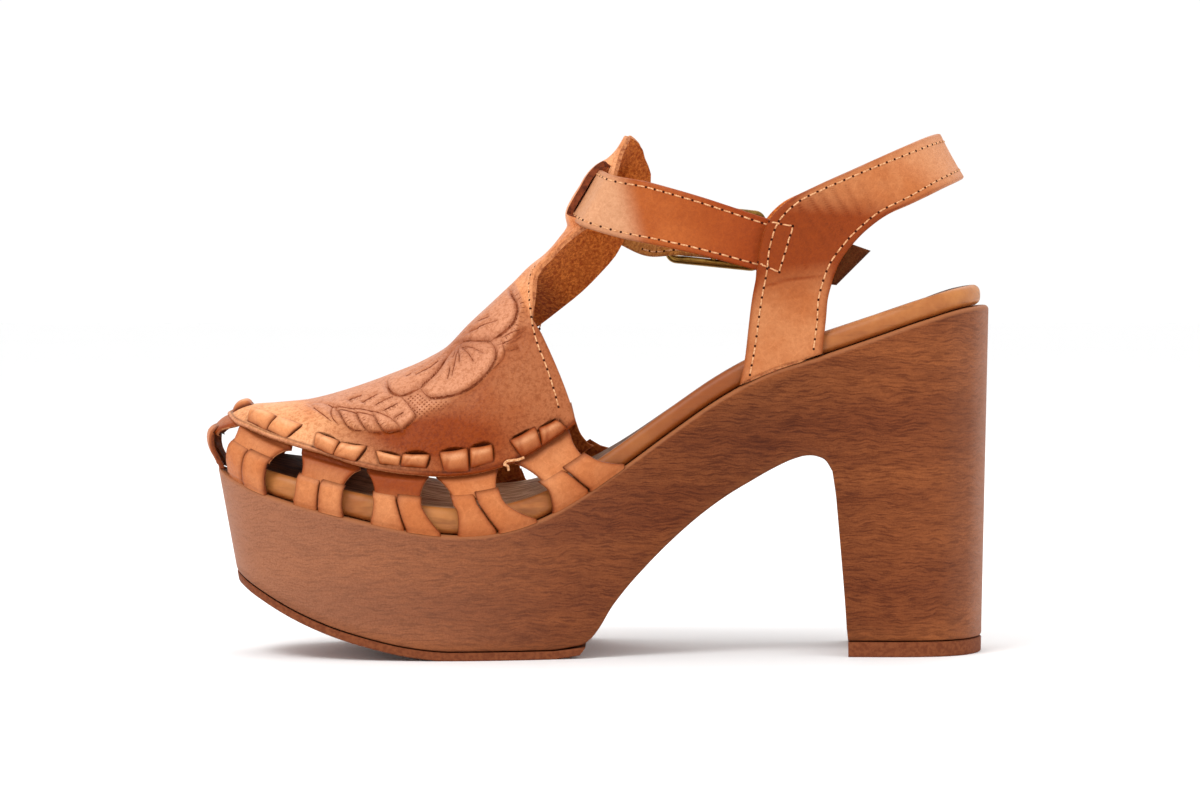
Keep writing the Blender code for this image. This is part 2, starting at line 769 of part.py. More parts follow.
def build_ankle_strap():
    crossing = []
    slope = T_STRAP[CROSSING_ROW][2]
    for across in (-1.15, -0.75, -0.4, 0.0, 0.35, 0.7, 1.1):
        lift = STRAP_LIFT + max(0.0, abs(across) - 0.5)
        x, y, z = t_strap_point(CROSSING_ROW, across, lift)
        crossing.append(width_rung(x, y, z, slope + 2 * abs(across), 15.6))
    rungs = [width_rung(*row) for row in ANKLE_MEDIAL] + crossing
    hole = len(rungs) + PRONG_HOLE - 1
    rungs += [width_rung(*row) for row in ANKLE_LATERAL]
    fine = refine(rungs, 2)
    drop = {(2 * hole + i, 2) for i in range(-1, 4)}
    across = (0, 0.2, 0.4, 0.6, 0.8, 1)
    return strip("ankle_strap", fine, across, STRAP_WALL, (0.52, 0.2, 0.08), drop)


def frame_axes():
    front, rear = np.array(FRAME_FRONT), np.array(FRAME_REAR)
    along = unit(rear - front)
    up = unit(np.array([0, 0, 1.0]) - along * along[2])
    out = np.cross(up, along)
    if out[1] < 0:
        out = -out
    return front, rear, along, up, out


def tube(name, path, radius, cyclic, colour):
    curve = bpy.data.curves.new(name, "CURVE")
    curve.dimensions = "3D"
    curve.bevel_depth = radius * MM
    curve.bevel_resolution = 2
    curve.use_fill_caps = not cyclic
    spline = curve.splines.new("POLY")
    spline.points.add(len(path) - 1)
    for point, place in zip(spline.points, path):
        point.co = (*(np.asarray(place) * MM), 1)
    spline.use_cyclic_u = cyclic
    helper = bpy.data.objects.new(name + "_path", curve)
    PARTS.objects.link(helper)
    bpy.context.view_layer.update()
    mesh = bpy.data.meshes.new_from_object(helper.evaluated_get(bpy.context.evaluated_depsgraph_get()))
    bpy.data.objects.remove(helper)
    obj = bpy.data.objects.new(name, mesh)
    obj.data.materials.clear()
    PARTS.objects.link(obj)
    weld = obj.modifiers.new("weld", "WELD")
    weld.merge_threshold = 0.00001
    paint(obj, colour, 0.3, 1.0)
    return obj


def rounded_corners(along, up, start, end, half, radius):
    """Closed path of a rectangle with rounded corners."""
    path = []
    corners = ((end, half, 0), (start, half, 90), (start, -half, 180), (end, -half, 270))
    for reach, height, turn in corners:
        inner = reach - math.copysign(1, reach) * radius
        level = height - math.copysign(1, height) * radius
        for step in (0, 30, 60, 90):
            angle = math.radians(turn + step)
            path.append(along * (inner + radius * math.cos(angle)) + up * (level + radius * math.sin(angle)))
    return path


def build_buckle():
    front, rear, along, up, out = frame_axes()
    middle = 0.5 * (front + rear)
    reach = np.linalg.norm(rear - front) / 2
    brass = (0.62, 0.44, 0.2)
    loop = rounded_corners(along, up, -reach, reach, FRAME_HALF_HEIGHT, FRAME_CORNER)
    frame = tube("buckle_frame", [middle + p for p in loop], WIRE_RADIUS, True, brass)
    bar_path = [middle + up * FRAME_HALF_HEIGHT * t for t in (-1, 1)]
    bar = tube("buckle_bar", bar_path, WIRE_RADIUS, False, brass)
    PARTS.objects.unlink(bar)
    HELPERS.objects.link(bar)
    bar.hide_render = True
    bar.display_type = "WIRE"
    join = frame.modifiers.new("bar", "BOOLEAN")
    join.operation = "UNION"
    join.solver = "EXACT"
    join.object = bar
    ring = WIRE_RADIUS + GAP + PRONG_RADIUS
    path = []
    for angle in np.radians(np.linspace(-150, 75, 10)):
        path.append(middle + along * ring * math.cos(angle) + out * ring * math.sin(angle))
    path.append(middle - along * 3.0 + out * ring)
    path.append(front - along * 1.4 + out * ring)
    tube("buckle_prong", path, PRONG_RADIUS, False, brass)
    build_buckle_strap(middle, along, up, out)


def build_buckle_strap(middle, along, up, out):
    """Folded strap: outer layer, round the bar, inner layer back under the quarter."""
    ring = WIRE_RADIUS + GAP + BUCKLE_STRAP_WALL / 2
    width = 12.6
    centres = [np.array([61.0, 28.4, 124.4]), np.array([53.0, 28.1, 126.0]), np.array([47.0, 28.0, 127.0])]
    centres.append(middle + along * 4.6 + out * (ring - 0.5))
    for angle in np.radians(np.linspace(75, 285, 8)):
        centres.append(middle + along * ring * math.cos(angle) + out * ring * math.sin(angle))
    centres.append(middle + along * 4.6 - out * (ring + 0.2))
    inner = [np.array([47.0, 26.2, 127.0]), np.array([53.0, 26.2, 126.0]), np.array([61.0, 26.4, 124.4])]
    centres += inner
    rungs = [(c - up * width / 2, c + up * width / 2) for c in centres]
    drop = {(i, 1) for i in range(3, 12)}
    across = (0, 0.5 - 1.5 / width, 0.5 + 1.5 / width, 1)
    return strip("buckle_strap", rungs, across, BUCKLE_STRAP_WALL, (0.5, 0.19, 0.08), drop)


for old in list(bpy.data.objects):
    bpy.data.objects.remove(old)
PARTS = bpy.data.collections.new("heeled_sandal")
HELPERS = bpy.data.collections.new("helpers")
HELPERS.hide_render = True
bpy.context.scene.collection.children.link(PARTS)
bpy.context.scene.collection.children.link(HELPERS)

build_sole()
build_tread()
build_insole()
build_upper()
build_sling()
build_ankle_strap()
build_buckle()
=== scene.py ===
"""Looks of the right heeled clog sandal: leather, carving, lacing, stitches, wood and brass on the frame.

Tables are in millimetres. Toe points to -X, the medial side is -Y, the floor is z = 0.
"""

import math

import bpy
import numpy as np
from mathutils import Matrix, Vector


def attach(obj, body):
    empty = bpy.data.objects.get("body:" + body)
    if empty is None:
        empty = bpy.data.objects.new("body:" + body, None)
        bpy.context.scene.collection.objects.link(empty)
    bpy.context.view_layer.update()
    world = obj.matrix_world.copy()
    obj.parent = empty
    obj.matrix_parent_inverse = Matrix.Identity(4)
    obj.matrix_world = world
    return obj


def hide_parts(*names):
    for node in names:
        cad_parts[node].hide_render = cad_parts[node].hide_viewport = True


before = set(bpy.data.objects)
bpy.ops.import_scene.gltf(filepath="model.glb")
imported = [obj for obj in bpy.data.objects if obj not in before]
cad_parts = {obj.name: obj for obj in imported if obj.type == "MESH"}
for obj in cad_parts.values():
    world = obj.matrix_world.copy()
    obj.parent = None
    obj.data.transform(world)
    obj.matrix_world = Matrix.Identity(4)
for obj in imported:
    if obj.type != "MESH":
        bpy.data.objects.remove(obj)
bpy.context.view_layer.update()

MM = 0.001
GAP = 0.35
LEDGE = 2.6
OUTSOLE_THICK = 2.5
TOP_LIFT_THICK = 4.6
UPPER_WALL = 2.0
SLING_WALL = 2.2
STRAP_WALL = 2.0
BUCKLE_STRAP_WALL = 1.4
WIRE_RADIUS = 1.0
PRONG_RADIUS = 0.75
SIDES_OF_SHOE = ("medial", "lateral")

# The photograph's view: scale at the shoe's middle, the pixel straight ahead, the eye's height and distance
PHOTO_SCALE = 0.31
PHOTO_AHEAD = (600.0, 288.0)
EYE_HEIGHT = 112.0
EYE_DISTANCE = 1300.0
AIM_HEIGHT = 77.3
LENS = 125.8
SENSOR = 36.0

# Plan outline of the wood's top edge: x, medial y, lateral y
OUTLINE = (
    (-117.6, -8.0, -8.0), (-115.6, -20.5, 4.0), (-110.5, -29.0, 13.0), (-100.0, -36.8, 23.0),
    (-85.0, -42.2, 32.2), (-70.0, -45.0, 39.0), (-55.0, -46.0, 43.6), (-40.0, -45.6, 46.0),
    (-25.0, -43.0, 46.6), (-10.0, -38.8, 45.2), (5.0, -34.4, 42.0), (20.0, -31.0, 38.0),
    (35.0, -29.2, 34.8), (50.0, -29.2, 32.8), (65.0, -30.4, 32.2), (80.0, -31.8, 32.6),
    (95.0, -32.0, 32.2), (105.0, -29.8, 29.8), (113.0, -23.6, 23.6), (118.4, -13.0, 13.0),
    (120.2, 0.0, 0.0),
)
# Height of the wood's top edge: x, z
WOOD_TOP = (
    (-121.0, 61.5), (-117.0, 57.6), (-108.0, 52.6), (-93.0, 47.4), (-80.0, 44.2), (-69.0, 41.6),
    (-58.0, 39.4), (-48.0, 38.1), (-39.0, 37.8), (-29.0, 39.0), (-20.0, 41.6), (-8.0, 47.6),
    (4.0, 55.6), (22.0, 68.6), (35.0, 77.6), (43.0, 82.3), (51.0, 86.2), (67.0, 91.4), (81.0, 96.2),
    (99.0, 102.4), (110.0, 105.6), (121.0, 107.2),
)
# Tread line that meets the floor under the forefoot: x, z
ROCKER = (
    (-118.0, 28.5), (-111.0, 22.6), (-102.0, 17.0), (-93.0, 12.2), (-82.0, 7.6), (-70.0, 4.0),
    (-58.0, 1.3), (-46.0, 0.0), (-38.0, 0.0), (-26.0, 0.0), (-14.0, 0.0), (-5.0, 1.3),
)
# Rear end of the tread's upper side: x, height of the tread line there
TREAD_END = (-5.2, 1.3)
# Underside of the arch and the heel breast: x, z
ARCH = (
    (-3.4, 5.2), (0.0, 9.2), (3.2, 14.6), (7.4, 20.2), (14.2, 27.8), (21.8, 35.4), (30.2, 42.8),
    (38.6, 49.0), (45.8, 53.4), (52.4, 57.2), (58.5, 60.1), (62.6, 61.2), (66.0, 60.9),
    (68.6, 59.4), (70.4, 56.4),
)
# Straight breast below the arch: x, z
BREAST = ((71.5, 49.0), (73.0, 32.0), (74.2, 18.0), (75.1, 5.0))
# How much further back the arch and the heel's front lie on the lateral side: x, setback
SETBACK = (
    (-121.0, 0.0), (-10.0, 0.0), (10.0, 0.0), (30.0, 0.4), (50.0, 1.8), (66.0, 3.6), (76.0, 3.6),
    (100.0, 0.8), (121.0, 0.0),
)
# How far a wall leans in per millimetre below the top edge: x, draft
DRAFT = (
    (-118.0, 0.185), (-106.0, 0.12), (-86.0, 0.06), (-40.0, 0.045), (10.0, 0.035), (60.0, 0.02),
    (121.0, 0.02),
)
# Footbed thickness: x, thick
FOOTBED = ((-120.0, 6.4), (-90.0, 7.4), (0.0, 7.4), (60.0, 6.8), (121.0, 6.3))
# How much lower the footbed is at its lateral edge: x, cant
CANT = (
    (-120.0, -1.4), (-95.0, -4.2), (-50.0, -4.4), (-20.0, -2.0), (5.0, 1.4), (60.0, 1.4),
    (100.0, 0.0), (121.0, 0.0),
)
# Footbed edge profile: inset, share of the thickness
ROLLED_EDGE = ((1.5, 0.0), (0.35, 0.14), (0.0, 0.45), (0.4, 0.78), (1.5, 0.96), (3.2, 1.0))
DISH = 1.1
SOCK_INSET = 2.4

# Inside of the vamp along its ridge: x, y, z
RIDGE = (
    (-97.0, -8.0, 74.6), (-89.0, -8.0, 75.8), (-77.0, -8.0, 79.1), (-64.5, -8.0, 83.5),
    (-52.0, -8.0, 88.8), (-46.0, -7.6, 92.4), (-39.2, -7.0, 99.4), (-33.0, -6.6, 105.2),
    (-26.6, -6.2, 111.2), (-20.8, -6.0, 116.6),
)
# Feather distance from the toe: at, ridge x it leads to, section fullness, tab edge height, bulge, sweep
COLUMNS = (
    (0.0, -97.0, 4.2, 14.6, 3.2, 1.0),
    (20.0, -96.0, 3.6, 15.4, 1.8, 1.0),
    (43.0, -89.0, 2.9, 15.2, 1.0, 1.0),
    (66.0, -73.0, 2.5, 14.8, 0.8, 1.4),
    (87.0, -54.0, 2.35, 16.6, 0.8, 2.0),
    (109.0, -38.5, 2.3, 18.6, 0.8, 2.3),
    (131.0, -25.4, 2.25, 21.2, 0.8, 2.5),
    (146.0, -25.4, 2.25, 21.2, 0.8, 2.5),
)
# Edge tabs by feather distance: at and half width at the top, the waist and the foot
TABS = (
    (0.0, 9.4, 0.0, 6.4, 0.0, 8.0),
    (32.0, 10.4, 28.0, 7.0, 25.5, 8.4),
    (55.2, 9.6, 52.6, 6.6, 51.8, 7.6),
    (76.4, 9.6, 75.8, 6.8, 77.4, 8.8),
    (98.0, 9.8, 100.0, 6.4, 105.6, 10.4),
    (121.8, 9.2, 126.6, 5.8, 133.2, 10.4),
)
# Share of the way down from the vamp's edge where each tab ends and its two loops begin
TAB_ENDS = (0.45, 0.42, 0.5, 0.47, 0.4, 0.55)
# Tabs whose looks differ a little from the solid: number and the same six values
TAB_LOOKS = {
    0: (0.0, 9.4, 0.0, 7.8, 0.0, 8.6),
    1: (30.5, 11.6, 27.2, 7.5, 25.8, 8.2),
    3: (76.4, 9.6, 76.2, 6.8, 78.8, 10.2),
    4: (98.0, 9.8, 100.6, 6.6, 106.8, 11.6),
    5: (121.8, 9.2, 127.4, 6.4, 135.4, 10.8),
}
# How much further back each lateral tab lies, and how dark each tab is
TAB_SHIFT = (0.0, 0.0, 0.0, 0.0, 8.0, 3.0)
TAB_BURNISH = (1.0, 0.5, 0.78, 1.2, 0.34, 0.42)
# How much higher the vamp's lower edge lies than in the solid: feather distance, rise
EDGE_RISE = (
    (0.0, -2.6), (8.0, -2.5), (16.0, -1.7), (22.0, -0.7), (29.0, 0.4), (42.0, 1.3), (52.0, 1.6), (63.0, 1.0),
    (75.0, 0.6), (89.0, 0.1), (146.0, 0.0),
)
# How far the vamp's rear edge runs past its solid at the foot of each side
REAR_FLARE = {"medial": 2.4, "lateral": -4.5}
FLARE_START = 104.0
LATERAL_REACH = 1.02
BULGE_HEIGHT = 17.0
TAB_WAIST_AT = 0.5
T_BASE_HALF = {"medial": 22.0, "lateral": 36.0}
T_BASE_SHARE = 0.56
REAR_COLUMN = 131.0

# T-strap: x, z, slope of the strap in degrees, y, then side reach and drop of its near and far edges
T_STRAP = (
    (-20.6, 117.2, 41.0, -6.0, 12.6, 2.4, 18.0, 14.4),
    (-15.6, 121.2, 45.0, -6.0, 11.6, 1.0, 16.0, 14.4),
    (-11.2, 125.8, 51.0, -6.0, 10.6, 0.9, 15.0, 14.6),
    (-7.0, 130.2, 55.0, -6.0, 10.0, 1.8, 14.6, 14.4),
    (-5.2, 132.6, 57.0, -6.0, 9.8, 3.0, 14.4, 14.0),
    (-3.0, 136.0, 58.0, -6.0, 9.6, 3.4, 14.4, 13.6),
    (-0.6, 139.8, 59.0, -6.0, 9.4, 3.0, 14.2, 13.4),
    (1.7, 143.6, 62.0, -6.0, 9.2, 2.4, 14.0, 13.2),
    (3.4, 146.6, 68.0, -6.0, 8.8, 1.8, 13.6, 12.6),
    (5.0, 150.2, 76.0, -6.0, 7.6, 1.2, 12.2, 11.2),
    (6.6, 153.4, 82.0, -6.0, 5.6, 0.6, 8.8, 7.4),
    (8.8, 157.2, 84.0, -5.6, 2.2, 0.2, 3.6, 3.0),
)
CROSSING_ROW = 6
T_MIDDLE = -6.0
SLIT_INNER = 0.5
SLIT_OUTER = 0.6
STRAP_LIFT = 3.5

# Ankle strap, medial part from the quarter to the T-strap: x, y, z, lean of its width in degrees, width
ANKLE_MEDIAL = (
    (59.0, -27.3, 122.6, 74.0, 16.0),
    (50.0, -27.0, 125.0, 74.0, 16.0),
    (40.0, -27.6, 128.0, 74.0, 16.4),
    (29.0, -27.2, 131.4, 73.0, 16.8),
    (19.0, -24.8, 134.4, 71.0, 16.8),
    (11.0, -20.6, 136.8, 67.0, 16.6),
)
# Ankle strap, lateral part from the T-strap through the buckle to its tip
ANKLE_LATERAL = (
    (17.0, 20.6, 130.8, 76.0, 15.2),
    (20.4, 24.6, 130.2, 80.0, 14.2),
    (22.6, 25.7, 129.8, 82.0, 14.0),
    (25.4, 26.6, 129.5, 83.0, 14.0),
    (27.4, 28.2, 129.3, 84.0, 14.0),
    (32.2, 33.2, 128.9, 84.0, 14.0),
    (34.2, 34.6, 128.7, 84.0, 14.0),
    (36.9, 35.1, 128.4, 84.0, 14.0),
    (43.0, 35.7, 127.8, 84.0, 14.0),
    (51.0, 36.2, 126.8, 82.0, 14.0),
    (58.0, 35.4, 125.0, 78.0, 14.2),
    (66.0, 33.9, 122.6, 74.0, 14.4),
    (74.0, 33.6, 120.2, 62.0, 15.0),
    (80.6, 33.2, 118.4, 45.0, 15.4),
)
CROSSING_SHARES = (-1.15, -0.75, -0.4, 0.0, 0.35, 0.7, 1.1)
CROSSING_WIDTH = 15.6
# Extra depth of the ankle strap's lower edge: at x on the medial side, and at x on the lateral side
NEAR_DEPTH = ((-30.0, 2.4), (6.0, 2.4), (11.0, 2.0), (19.0, 0.9), (30.0, 0.2), (40.0, 0.0), (90.0, 0.0))
FAR_DEPTH = ((-30.0, 0.6), (8.0, 0.8), (17.0, 1.6), (20.4, 1.1), (23.0, 0.2), (90.0, 0.0))
# Heel sling rungs, front or upper edge then rear or lower edge: x, y, z of each
SLING = (
    (42.4, 0.0, 0.0, 67.2, 0.0, 0.0),
    (43.9, -27.4, 90.2, 68.4, -28.9, 101.6),
    (46.0, -29.0, 108.4, 69.6, -30.2, 111.4),
    (47.5, -30.0, 116.8, 72.6, -30.8, 119.9),
    (48.5, -30.6, 125.0, 78.2, -31.0, 127.2),
    (51.2, -31.0, 132.6, 83.4, -30.8, 131.8),
    (57.2, -31.2, 138.6, 88.0, -30.0, 134.8),
    (64.4, -31.0, 142.4, 93.4, -28.2, 137.2),
    (75.8, -29.4, 147.6, 99.0, -24.8, 139.8),
    (91.0, -22.4, 154.4, 104.6, -18.4, 142.4),
    (100.0, -12.4, 158.2, 109.6, -10.2, 144.6),
    (104.2, 0.0, 159.5, 111.9, 0.0, 145.6),
)
LATERAL_SETBACK = 4.0
# Width place of the lateral quarter's front and rear edge above its foot
LATERAL_QUARTER = (31.6, 31.0)
SLING_INSET = LEDGE - GAP - SLING_WALL / 2 - 0.45
# Buckle frame in plan: x and y of its front bar and its rear bar, z at both
FRAME_FRONT = (22.4, 28.2, 129.7)
FRAME_REAR = (51.0, 33.5, 126.8)
FRAME_HALF_HEIGHT = 8.4
FRAME_CORNER = 2.6
BUCKLE_WIRE = 1.28

LACE_PUFF = 1.9
# How far a fold reaches past its corners across and along it, and how deep it sits in the leather
LACE_REACH = (1.08, 1.16)
LACE_SINK = 1.3
# How dark each lacing fold is, from the toe back
LACE_DYE = (0.3, 0.16, 0.0, 0.3, 0.28, 0.28, 0.5, 0.55, 0.48, 0.66, 0.68)
# Lacing folds in photograph pixels: upper left, upper right, lower right and lower left corner of each,
# then how open the slot above it is and the gap at its right end
LACE_QUADS = (
    ((253.8, 408.7), (276.1, 416.8), (266.0, 429.0), (247.7, 419.8), 0.35, 0.0),
    ((279.2, 418.8), (301.5, 424.9), (285.2, 437.1), (267.0, 428.5), 0.35, 0.6),
    ((316.7, 433.0), (339.0, 442.2), (331.9, 455.3), (313.6, 446.2), 0.55, 0.0),
    ((341.0, 442.8), (366.4, 447.2), (354.2, 460.8), (332.9, 455.3), 0.3, 0.7),
    ((376.5, 451.3), (400.9, 456.3), (398.8, 465.5), (379.6, 463.0), 0.35, 0.0),
    ((402.9, 454.9), (429.3, 455.3), (425.2, 467.5), (400.9, 465.9), 0.9, 0.4),
    ((439.9, 452.4), (466.8, 449.2), (468.3, 470.3), (444.7, 471.9), 0.7, 0.0),
    ((469.9, 449.2), (491.0, 445.1), (493.6, 460.9), (470.5, 467.2), 1.0, 0.3),
    ((510.0, 441.9), (534.6, 427.7), (544.0, 451.4), (522.0, 456.8), 0.6, 0.0),
    ((539.3, 429.3), (556.7, 420.8), (570.9, 435.6), (545.6, 449.8), 0.45, 0.3),
)
# Lacing fold at the toe's middle: feather distance, height above the edge, half width and half height
TOE_LACE = (5.0, 4.4, 4.2, 2.6)


def hermite(knots, values, at):
    """Smooth curve through a table's points, without overshoot from uneven spacing."""
    knots = np.asarray(knots, float)
    values = np.asarray(values, float)
    at = np.clip(np.asarray(at, float), knots[0], knots[-1])
    step = np.diff(knots)
    rise = (np.diff(values, axis=0).T / step).T
    slope = np.empty_like(values)
    slope[0] = rise[0]
    slope[-1] = rise[-1]
    weight = (step[1:] / (step[1:] + step[:-1])).reshape((-1,) + (1,) * (values.ndim - 1))
    slope[1:-1] = rise[:-1] * weight + rise[1:] * (1 - weight)
    i = np.clip(np.searchsorted(knots, at) - 1, 0, len(step) - 1)
    h = step[i]
    t = (at - knots[i]) / h
    shape = t.shape + (1,) * (values.ndim - 1)
    h = h.reshape(shape)
    t = t.reshape(shape)
    start = (1 + 2 * t) * (1 - t) ** 2 * values[i] + t * (1 - t) ** 2 * h * slope[i]
    end = t * t * (3 - 2 * t) * values[i + 1] + t * t * (t - 1) * h * slope[i + 1]
    return start + end


def lookup(table, at):
    rows = np.array(table)
    return hermite(rows[:, 0], rows[:, 1], at)


def straight(table, at, column=1):
    """Straight lines between a table's points."""
    rows = np.array(table, float)
    return np.interp(at, rows[:, 0], rows[:, column])


def along_path(at, run, points):
    """Places on a path at given runs along it."""
    return np.stack([np.interp(at, run, points[:, k]) for k in range(points.shape[1])], axis=-1)


def hump(gap, width):
    """One at no gap, falling off smoothly over a width."""
    return np.exp(-((gap / width) ** 2))


def part(value):
    """A value kept between nothing and one."""
    return np.clip(value, 0, 1)


def wood_top(x):
    return lookup(WOOD_TOP, x)


def unit(vector):
    vector = np.asarray(vector, float)
    return vector / np.maximum(np.linalg.norm(vector, axis=-1, keepdims=True), 1e-12)


def running_length(points):
    return np.r_[0, np.cumsum(np.linalg.norm(np.diff(points, axis=0), axis=1))]


def to_photo(points):
    """Photograph pixels of points in millimetres."""
    scale = PHOTO_SCALE * (1 + points[..., 1] / EYE_DISTANCE)
    px = PHOTO_AHEAD[0] + points[..., 0] / scale
    py = PHOTO_AHEAD[1] + (EYE_HEIGHT - points[..., 2]) / scale
    return np.stack([px, py], axis=-1)


def dense_outline():
    """The plan outline as a closed smooth loop, split into its two sides from toe to heel."""
    rows = np.array(OUTLINE)
    medial = rows[:, [0, 1]]
    lateral = rows[1:-1, [0, 2]][::-1]
    loop = np.vstack([lateral[-3:], medial, lateral, medial[:3]])
    knots = running_length(loop)
    at = np.linspace(knots[3], knots[-3], 1601)
    points = hermite(knots, loop, at)
    along = unit(np.gradient(points, at, axis=0))
    outward = np.stack([along[:, 1], -along[:, 0]], axis=1)
    heel = int(np.argmax(points[:, 0]))
    if np.mean(outward[: heel + 1, 1]) > 0:
        outward = -outward
    near = (points[: heel + 1], outward[: heel + 1])
    far = (points[heel:][::-1], outward[heel:][::-1])
    return {"medial": near, "lateral": far}


SIDES = dense_outline()
TOE_X = float(SIDES["medial"][0][:, 0].min())
HEEL_X = float(SIDES["medial"][0][:, 0].max())


def edge_at(side, x, inset=0.0):
    """Plan point of one side's outline at x, moved in by inset along the outline's own normal."""
    points, outward = SIDES[side]
    y = np.interp(x, points[:, 0], points[:, 1])
    normal = along_path(x, points[:, 0], outward)
    return np.array([x - normal[0] * inset, y - normal[1] * inset])


def feather_at(side, distance, inset):
    """Plan point at a distance along the outline from the toe, moved in by inset."""
    points, outward = SIDES[side]
    run = running_length(points)
    return along_path(distance, run, points - outward * inset)


def grid_quads(ids):
    """Corners of every cell of a grid of point ids."""
    return np.stack([ids[:-1, :-1], ids[1:, :-1], ids[1:, 1:], ids[:-1, 1:]], axis=-1).reshape(-1, 4)


class Builder:
    """Collects points, faces, face materials and point tones of one piece."""

    def __init__(self):
        self.points = []
        self.faces = []
        self.slots = []
        self.tones = []
        self.count = 0

    def add_points(self, points, tone=None):
        points = np.asarray(points, float).reshape(-1, 3)
        tones = np.zeros((len(points), 3)) if tone is None else np.asarray(tone, float).reshape(-1, 3)
        self.points.append(points)
        self.tones.append(tones)
        first = self.count
        self.count += len(points)
        return np.arange(first, self.count)

    def add_face(self, corners, slot=0):
        self.faces.append(tuple(int(c) for c in corners))
        self.slots.append(slot)

    def add_grid(self, ids, slot=0, flip=False):
        """Quads over a grid of point ids."""
        quads = grid_quads(ids)
        if flip:
            quads = quads[:, ::-1]
        self.faces += [tuple(q) for q in quads.tolist()]
        self.slots += [slot] * len(quads)

    def add_slab(self, outer, inner, slots=(0, 1, 2), tone=None, inner_tone=None):
        """A closed sheet between two grids of the same size: outer face, inner face, walls."""
        shape = outer.shape[:2]
        top = self.add_points(outer, tone).reshape(shape)
        low = self.add_points(inner, inner_tone).reshape(shape)
        self.add_grid(top, slots[0])
        self.add_grid(low, slots[1], flip=True)
        for upper, lower in ((top[0], low[0]), (top[-1][::-1], low[-1][::-1])):
            self.add_grid(np.stack([upper, lower]), slots[2], flip=True)
        for upper, lower in ((top[:, -1], low[:, -1]), (top[::-1, 0], low[::-1, 0])):
            self.add_grid(np.stack([upper, lower]), slots[2], flip=True)

    def drop_loose(self):
        """Leaves out the points that no face uses."""
        used = np.zeros(self.count, bool)
        used[[corner for face in self.faces for corner in face]] = True
        place = (np.cumsum(used) - 1).tolist()
        self.points = [np.vstack(self.points)[used]]
        self.tones = [np.vstack(self.tones)[used]]
        self.faces = [tuple(place[corner] for corner in face) for face in self.faces]
        self.count = int(used.sum())

    def finish(self, name, materials, slot, sharp=50.0):
        self.drop_loose()
        mesh = bpy.data.meshes.new(name)
        mesh.from_pydata((self.points[0] * MM).tolist(), [], self.faces)
        for material in materials:
            mesh.materials.append(material)
        mesh.polygons.foreach_set("material_index", self.slots)
        tone = mesh.color_attributes.new("tone", "FLOAT_COLOR", "POINT")
        colours = np.hstack([np.vstack(self.tones), np.ones((self.count, 1))])
        tone.data.foreach_set("color", colours.ravel())
        mesh.polygons.foreach_set("use_smooth", [True] * len(self.faces))
        mesh.update()
        mesh.set_sharp_from_angle(angle=math.radians(sharp))
        obj = bpy.data.objects.new(name, mesh)
        bpy.context.scene.collection.objects.link(obj)
        face_out(mesh)
        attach(obj, "root")
        return obj


def face_out(mesh):
    """Turns a closed mesh right side out."""
    mesh.calc_loop_triangles()
    corners = np.empty(len(mesh.loop_triangles) * 3, np.int32)
    mesh.loop_triangles.foreach_get("vertices", corners)
    places = np.empty(len(mesh.vertices) * 3, np.float32)
    mesh.vertices.foreach_get("co", places)
    if np.linalg.det(places.reshape(-1, 3)[corners.reshape(-1, 3)]).sum() < 0:
        mesh.flip_normals()


def rounded(distance, radius):
    """How much lower a face lies near an edge that is rounded off."""
    reach = part(1 - distance / radius)
    return radius * (1 - np.sqrt(1 - reach**2))


def grid_normals(points):
    """Normals of a grid of points, from the directions along its rows and columns."""
    return unit(np.cross(np.gradient(points, axis=0), np.gradient(points, axis=1)))


def srgb(red, green, blue):
    """Linear colour from display values of 0 to 255."""
    values = np.array([red, green, blue]) / 255
    low = values / 12.92
    high = ((values + 0.055) / 1.055) ** 2.4
    return tuple(float(v) for v in np.where(values <= 0.04045, low, high))


